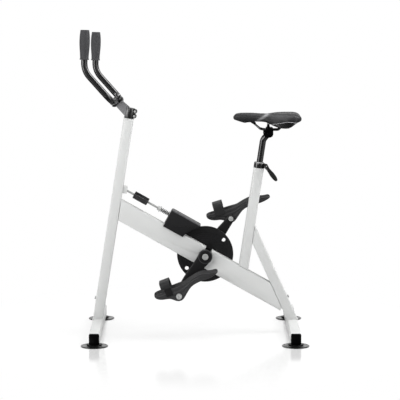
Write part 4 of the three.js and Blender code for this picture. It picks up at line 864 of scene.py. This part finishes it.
def shapeCover(cover, low, high):
    # deeper nose underneath, and a shallow channel along the top
    look = coverLook
    length = high.x - low.x
    lowest, highest = [low.z + height / 1000 for height in look["noseHeight"]]
    for vertex in cover.data.vertices:
        along = (vertex.co.x - low.x) / length
        if vertex.normal.z < 0.3:
            rise = 1 - smoothStep(vertex.co.z, lowest, highest)
            nose = smoothStep(along, *look["noseStart"]) * (1 - smoothStep(along, *look["noseEnd"]))
            vertex.co.z -= look["noseDrop"] / 1000 * rise * nose
        if vertex.normal.z > 0.3:
            across = math.exp(-(vertex.co.y * 1000 / look["channelWidth"]) ** 2)
            run = smoothStep(along, *look["channelStart"]) * (1 - smoothStep(along, *look["channelEnd"]))
            vertex.co.z -= look["channelDepth"] / 1000 * across * run


def fitTo(cover, low, high):
    # stretched back to the full length and width after the smoothing
    for axis in (0, 1):
        values = [v.co[axis] for v in cover.data.vertices]
        start, reach = min(values), max(values) - min(values)
        for vertex in cover.data.vertices:
            vertex.co[axis] = low[axis] + (vertex.co[axis] - start) * (high[axis] - low[axis]) / reach


def paintHighlights(cover):
    # painted highlights: a pale slanting band before the widening, a soft patch over the rear and a little
    # all along, more towards the top
    look = highlightLook
    (bandX, bandZ), (patchX, patchZ), (long, tall) = look["bandAt"], look["patchAt"], look["patchSize"]
    values = cover.data.attributes.new("painted_highlight", "FLOAT", "POINT")
    for vertex, value in zip(cover.data.vertices, values.data):
        x, z = vertex.co.x * 1000, vertex.co.z * 1000
        middle = bandX + (z - bandZ) * look["bandSlant"]
        band = math.exp(-((x - middle) / look["bandWidth"]) ** 2) * smoothStep(z, *look["bandRise"])
        patch = math.exp(-((x - patchX) / long) ** 2 - ((z - patchZ) / tall) ** 2)
        wash = smoothStep(z, *look["washRise"])
        value.value = look["band"] * band + look["patch"] * patch + look["wash"] * wash


def seamHeight(x):
    spots = coverLook["seam"]
    for (x0, z0), (x1, z1) in zip(spots, spots[1:]):
        if x0 <= x <= x1:
            return z0 + (z1 - z0) * (x - x0) / (x1 - x0)
    return spots[0][1] if x < spots[0][0] else spots[-1][1]


def pipeSeam(cover, side, sign):
    # the raised line is laid on the cover's own skin
    route = []
    first, last = coverLook["seam"][0][0], coverLook["seam"][-1][0]
    for step in range(coverLook["pipeSteps"] + 1):
        x = first + (last - first) * step / coverLook["pipeSteps"]
        start = headCentre + mm(x, sign * coverLook["castFrom"], seamHeight(x))
        hit, spot, normal, face = cover.ray_cast(start, (0, -sign, 0))
        if hit:
            route.append(spot + normal * coverLook["pipe"] / 2000)
    return swept("saddle_seam_" + side, route, coverLook["pipe"], 3)


def buildSaddle():
    low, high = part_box("saddle_pad")
    cover = mergedCopy("saddle_pad", "saddle_cover")
    addModifier(cover, "REMESH", mode="VOXEL", voxel_size=coverLook["voxel"] / 1000, use_smooth_shade=True)
    applyAll(cover)
    addModifier(cover, "SMOOTH", factor=0.5, iterations=coverLook["smooth"])
    applyAll(cover)
    puffCover(cover)
    shapeCover(cover, low, high)
    addModifier(cover, "SMOOTH", factor=0.5, iterations=coverLook["lastSmooth"])
    addModifier(cover, "SUBSURF", levels=1, render_levels=1)
    applyAll(cover)
    fitTo(cover, low, high)
    paintHighlights(cover)
    for vertex in cover.data.vertices:
        vertex.co = [max(a, min(b, c)) for a, b, c in zip(low, high, vertex.co)]
    smoothByAngle(cover, 60)
    bpy.context.view_layer.update()
    pipes = [pipeSeam(cover, "left", -1), pipeSeam(cover, "right", 1)]
    settle(cover, "saddle", "saddle_leather", "saddle_pad")

    def onSkirt(face):
        place = (face.center - headCentre) * 1000
        return place.x > coverLook["seam"][0][0] and place.z < seamHeight(place.x) and face.normal.z < 0.4
    paintFaces(cover, "saddle_skirt", onSkirt)
    pipe = smoothByAngle(joined(*pipes), 60)
    settle(pipe, "saddle", "saddle_piping", slotName="saddle_leather")


buildSaddle()
print("saddle made")

# every other node is a welded, edge-rounded copy
bodyOf = {node: body for body, nodes in frame["record"]["behaviour"]["bodies"].items() for node in nodes}
slotOf = {row["node"]: row["material_slot"] for row in frame["record"]["subparts"]}
finishOf = {"saddle_clamp_bolt": "black_plastic", "saddle_clamp_lower": "black_plastic",
            "seat_collar": "black_gloss", "stem": "black_metal", "stem_face": "black_metal"}
edgeLook = {"usual": 0.8, "cap": 0.4}
# broadSide is an area in square metres, and paler is the band across where the stem's painted highlight goes
stemLook = {"edge": 3, "recess": 1.2, "broadSide": 0.0006, "paler": (12, 13.4), "palerBefore": -260}
bossLook = {"lift": 842.8, "before": 262, "left": 0.1}
axleDot = {"edge": 5.4, "recess": 1.4, "paler": (1.6, 1)}


def insetFaces(piece, edge, recess, test):
    # leaves the rim of each chosen face and sinks its middle
    activate(piece)
    enterEdit()
    bpy.ops.mesh.select_mode(type="FACE")
    bpy.ops.mesh.select_all(action="DESELECT")
    leaveEdit()
    for face in piece.data.polygons:
        face.select = test(face)
    enterEdit()
    bpy.ops.mesh.inset(thickness=edge / 1000, depth=-recess / 1000)
    leaveEdit()


def sinkStem(piece):
    insetFaces(piece, stemLook["edge"], stemLook["recess"], lambda face: (
        abs(face.normal.y) > 0.98 and face.area > stemLook["broadSide"]))


def liftBosses(piece):
    # the front rail bosses go up into the nose
    level, before = bossLook["lift"] / 1000, bossLook["before"] / 1000
    for vertex in piece.data.vertices:
        if vertex.co.x < before and vertex.co.z < level:
            vertex.co.z = level - (level - vertex.co.z) * bossLook["left"]


def widestY(piece):
    return max(abs(vertex.co.y) for vertex in piece.data.vertices)


def dotAxle(piece):
    reach = widestY(piece)
    insetFaces(piece, axleDot["edge"], axleDot["recess"], lambda face: (
        abs(face.normal.y) > 0.98 and abs(face.center.y) > reach - 0.0001))


reshapes = {"stem": sinkStem, "saddle_shell": liftBosses, "pedal_axle_left": dotAxle,
            "pedal_axle_right": dotAxle}


def dressNode(nodeName):
    piece = mergedCopy(nodeName, nodeName + "_dressed")
    if nodeName in reshapes:
        reshapes[nodeName](piece)
    softened(piece, edgeLook["cap" if "_cap_" in nodeName else "usual"], segments=2, angle=38, smooth=32)
    slotName = slotOf[nodeName]
    settle(piece, bodyOf[nodeName], finishOf.get(nodeName, slotName), nodeName, slotName=slotName)


def dressRest():
    alreadyMade = {node for obj in bpy.data.objects for node in obj.get("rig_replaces", [])}
    for nodeName in frame["nodes"]:
        if nodeName not in alreadyMade:
            dressNode(nodeName)
    # painted highlight: the sunk middle of the stem arm's sides is pale grey
    thin, thick = [level / 1000 for level in stemLook["paler"]]
    paintFaces(bpy.data.objects["stem_dressed"], "stem_side_highlight", lambda face: (
        abs(face.normal.y) > 0.9 and thin < abs(face.center.y) < thick
        and face.center.x < stemLook["palerBefore"] / 1000))
    deep, shallow = [level / 1000 for level in axleDot["paler"]]
    for side in ("left", "right"):
        axle = bpy.data.objects["pedal_axle_" + side + "_dressed"]
        reach = widestY(axle)
        paintFaces(axle, "highlight_and_dot_grey", lambda face: (
            abs(face.normal.y) > 0.9 and reach - deep < abs(face.center.y) < reach - shallow))
    neckTop = onTube(seatLook["tubeTop"] - seatLook["blackRim"])
    paintFaces(bpy.data.objects["seat_tube_dressed"], "black_gloss",
               lambda face: (face.center - neckTop).dot(tubeDirection) > 0)


dressRest()
print("nodes dressed")


# floor, light and camera
stageLook = {
    "floorSize": 160, "floorSeen": 0.8, "floorBounce": 0.95, "floorMirrored": 0.06, "floorGlow": 0.28,
    "floorGloss": {"Roughness": 0.16, "Specular IOR Level": 1, "Coat Weight": 1, "Coat Roughness": 0.14},
    "whiteFrom": 0.6, "whiteAt": 1.05, "skyBehind": 1.0, "skyFront": 0.42, "skyTurn": (-0.5, 0.25),
    "skyWhole": 0.62, "skyMirrored": 0.12, "skyBand": (0.08, 0.13, 0.34, 0.42)}
cameraLook = {"place": (-0.00116, -7.2, 1.494), "tilt": 82.43, "turn": -0.17, "lens": 163.2, "sensor": 36}
lampAim = Vector((0, 0, 0.6))
lampLooks = {
    "key_lamp": {"place": (-2.6, -5.0, 3.0), "size": (2.0, 2.2), "power": 99},
    "fill_lamp": {"place": (2.8, -4.0, 1.6), "size": (1.0, 2.2), "power": 6},
    "top_lamp": {"place": (0.2, 0.2, 4.4), "size": (5.0, 4.0), "power": 118},
    "side_panel": {"place": (2.7, 0.1, 3.2), "size": (1.8, 2.0), "power": 90},
    "left_strip": {"place": (-3.1, -1.8, 1.3), "size": (1.2, 2.4), "power": 46},
    "right_strip": {"place": (3.1, -1.8, 1.3), "size": (1.2, 2.4), "power": 24},
}


def buildFloor():
    # white floor: it takes light and shadow near the object, and fades to plain white for the camera
    look = stageLook
    bpy.ops.mesh.primitive_plane_add(size=look["floorSize"])
    floor = bpy.context.active_object
    floor.name = "floor"
    material, tree, shader = newMaterial("pale_floor")
    place = addNode(tree, "TexCoord").outputs["Object"]
    distance = addNode(tree, "VectorMath", {0: place}, operation="LENGTH").outputs["Value"]
    fade = addNode(tree, "MapRange", {
        "Value": distance, "From Min": look["whiteFrom"], "From Max": look["whiteAt"],
        "To Min": look["floorGlow"]}, interpolation_type="SMOOTHSTEP")
    rays = addNode(tree, "LightPath").outputs
    # pale for the light that it throws back, darker where the object's own gloss mirrors it
    steps = {}
    for spot, (ray, level) in enumerate((("Is Glossy Ray", "floorMirrored"), ("Is Camera Ray", "floorSeen"))):
        steps[spot] = addNode(tree, "MapRange", {
            "Value": rays[ray], "To Min": 1, "To Max": look[level] / look["floorBounce"]}).outputs["Result"]
    both = addNode(tree, "Math", steps, operation="MULTIPLY").outputs["Value"]
    floorTone = addNode(tree, "Math", {0: both, 1: look["floorBounce"]}, operation="MULTIPLY")
    fillInputs(tree, shader, {"Base Color": floorTone.outputs["Value"], **look["floorGloss"]})
    share = addNode(tree, "Math", {0: rays["Is Camera Ray"], 1: fade.outputs["Result"]}, operation="MULTIPLY")
    glow = addNode(tree, "Emission").outputs["Emission"]
    pick = addNode(tree, "MixShader", {"Fac": share.outputs["Value"], 1: shader.outputs["BSDF"], 2: glow})
    fillInputs(tree, tree.nodes["Material Output"], {"Surface": pick.outputs["Shader"]})
    floor.data.materials.append(material)


def buildSky():
    # the camera sees plain white; light comes from a sky that is white behind the object, dimmer in front
    look = stageLook
    world = bpy.data.worlds.new("studio")
    bpy.context.scene.world = world
    world.use_nodes = True
    tree = world.node_tree
    place = addNode(tree, "TexCoord").outputs["Generated"]
    split = addNode(tree, "SeparateXYZ", {"Vector": place}).outputs
    front, behind = look["skyTurn"]
    level = addNode(tree, "MapRange", {
        "Value": split["Y"], "From Min": front, "From Max": behind, "To Min": look["skyFront"],
        "To Max": look["skyBehind"]}, interpolation_type="SMOOTHSTEP")
    # reflections see a white band just above the horizon, which is what the floor mirrors
    mirrored = addNode(tree, "ValToRGB", {"Fac": split["Z"]})
    elements = mirrored.color_ramp.elements
    elements[0].position, elements[1].position = look["skyBand"][0], look["skyBand"][-1]
    elements[0].color = elements[1].color = [look["skyMirrored"]] * 3 + [1]
    for spot in look["skyBand"][1:-1]:
        elements.new(spot).color = (1, 1, 1, 1)
    rays = addNode(tree, "LightPath").outputs
    seen = rays["Is Camera Ray"]
    strength = addNode(tree, "MapRange", {
        "Value": rays["Is Glossy Ray"], "To Min": look["skyWhole"], "To Max": mirrored.outputs["Color"]})
    light = tree.nodes["Background"]
    fillInputs(tree, light, {"Strength": strength.outputs["Result"], "Color": level.outputs["Result"]})
    white = addNode(tree, "Background", {"Color": (1, 1, 1, 1)}).outputs["Background"]
    pick = addNode(tree, "MixShader", {"Fac": seen, 1: light.outputs["Background"], 2: white})
    fillInputs(tree, tree.nodes["World Output"], {"Surface": pick.outputs["Shader"]})


def buildLamps():
    for name, look in lampLooks.items():
        lamp = bpy.data.lights.new(name, "AREA")
        lamp.shape = "RECTANGLE"
        lamp.size, lamp.size_y = look["size"]
        lamp.energy = look["power"]
        holder = placeObject(name, lamp)
        holder.location = look["place"]
        holder.rotation_euler = (lampAim - holder.location).to_track_quat("-Z", "Y").to_euler()


def buildCamera():
    lens = bpy.data.cameras.new("view_camera")
    lens.sensor_width = cameraLook["sensor"]
    lens.lens = cameraLook["lens"]
    camera = placeObject("view_camera", lens)
    camera.location = cameraLook["place"]
    camera.rotation_euler = (math.radians(cameraLook["tilt"]), 0, math.radians(cameraLook["turn"]))
    bpy.context.scene.camera = camera


buildFloor()
buildSky()
buildLamps()
buildCamera()
bpy.context.scene.view_settings.view_transform = "Standard"
print("stage, lamps and camera made")
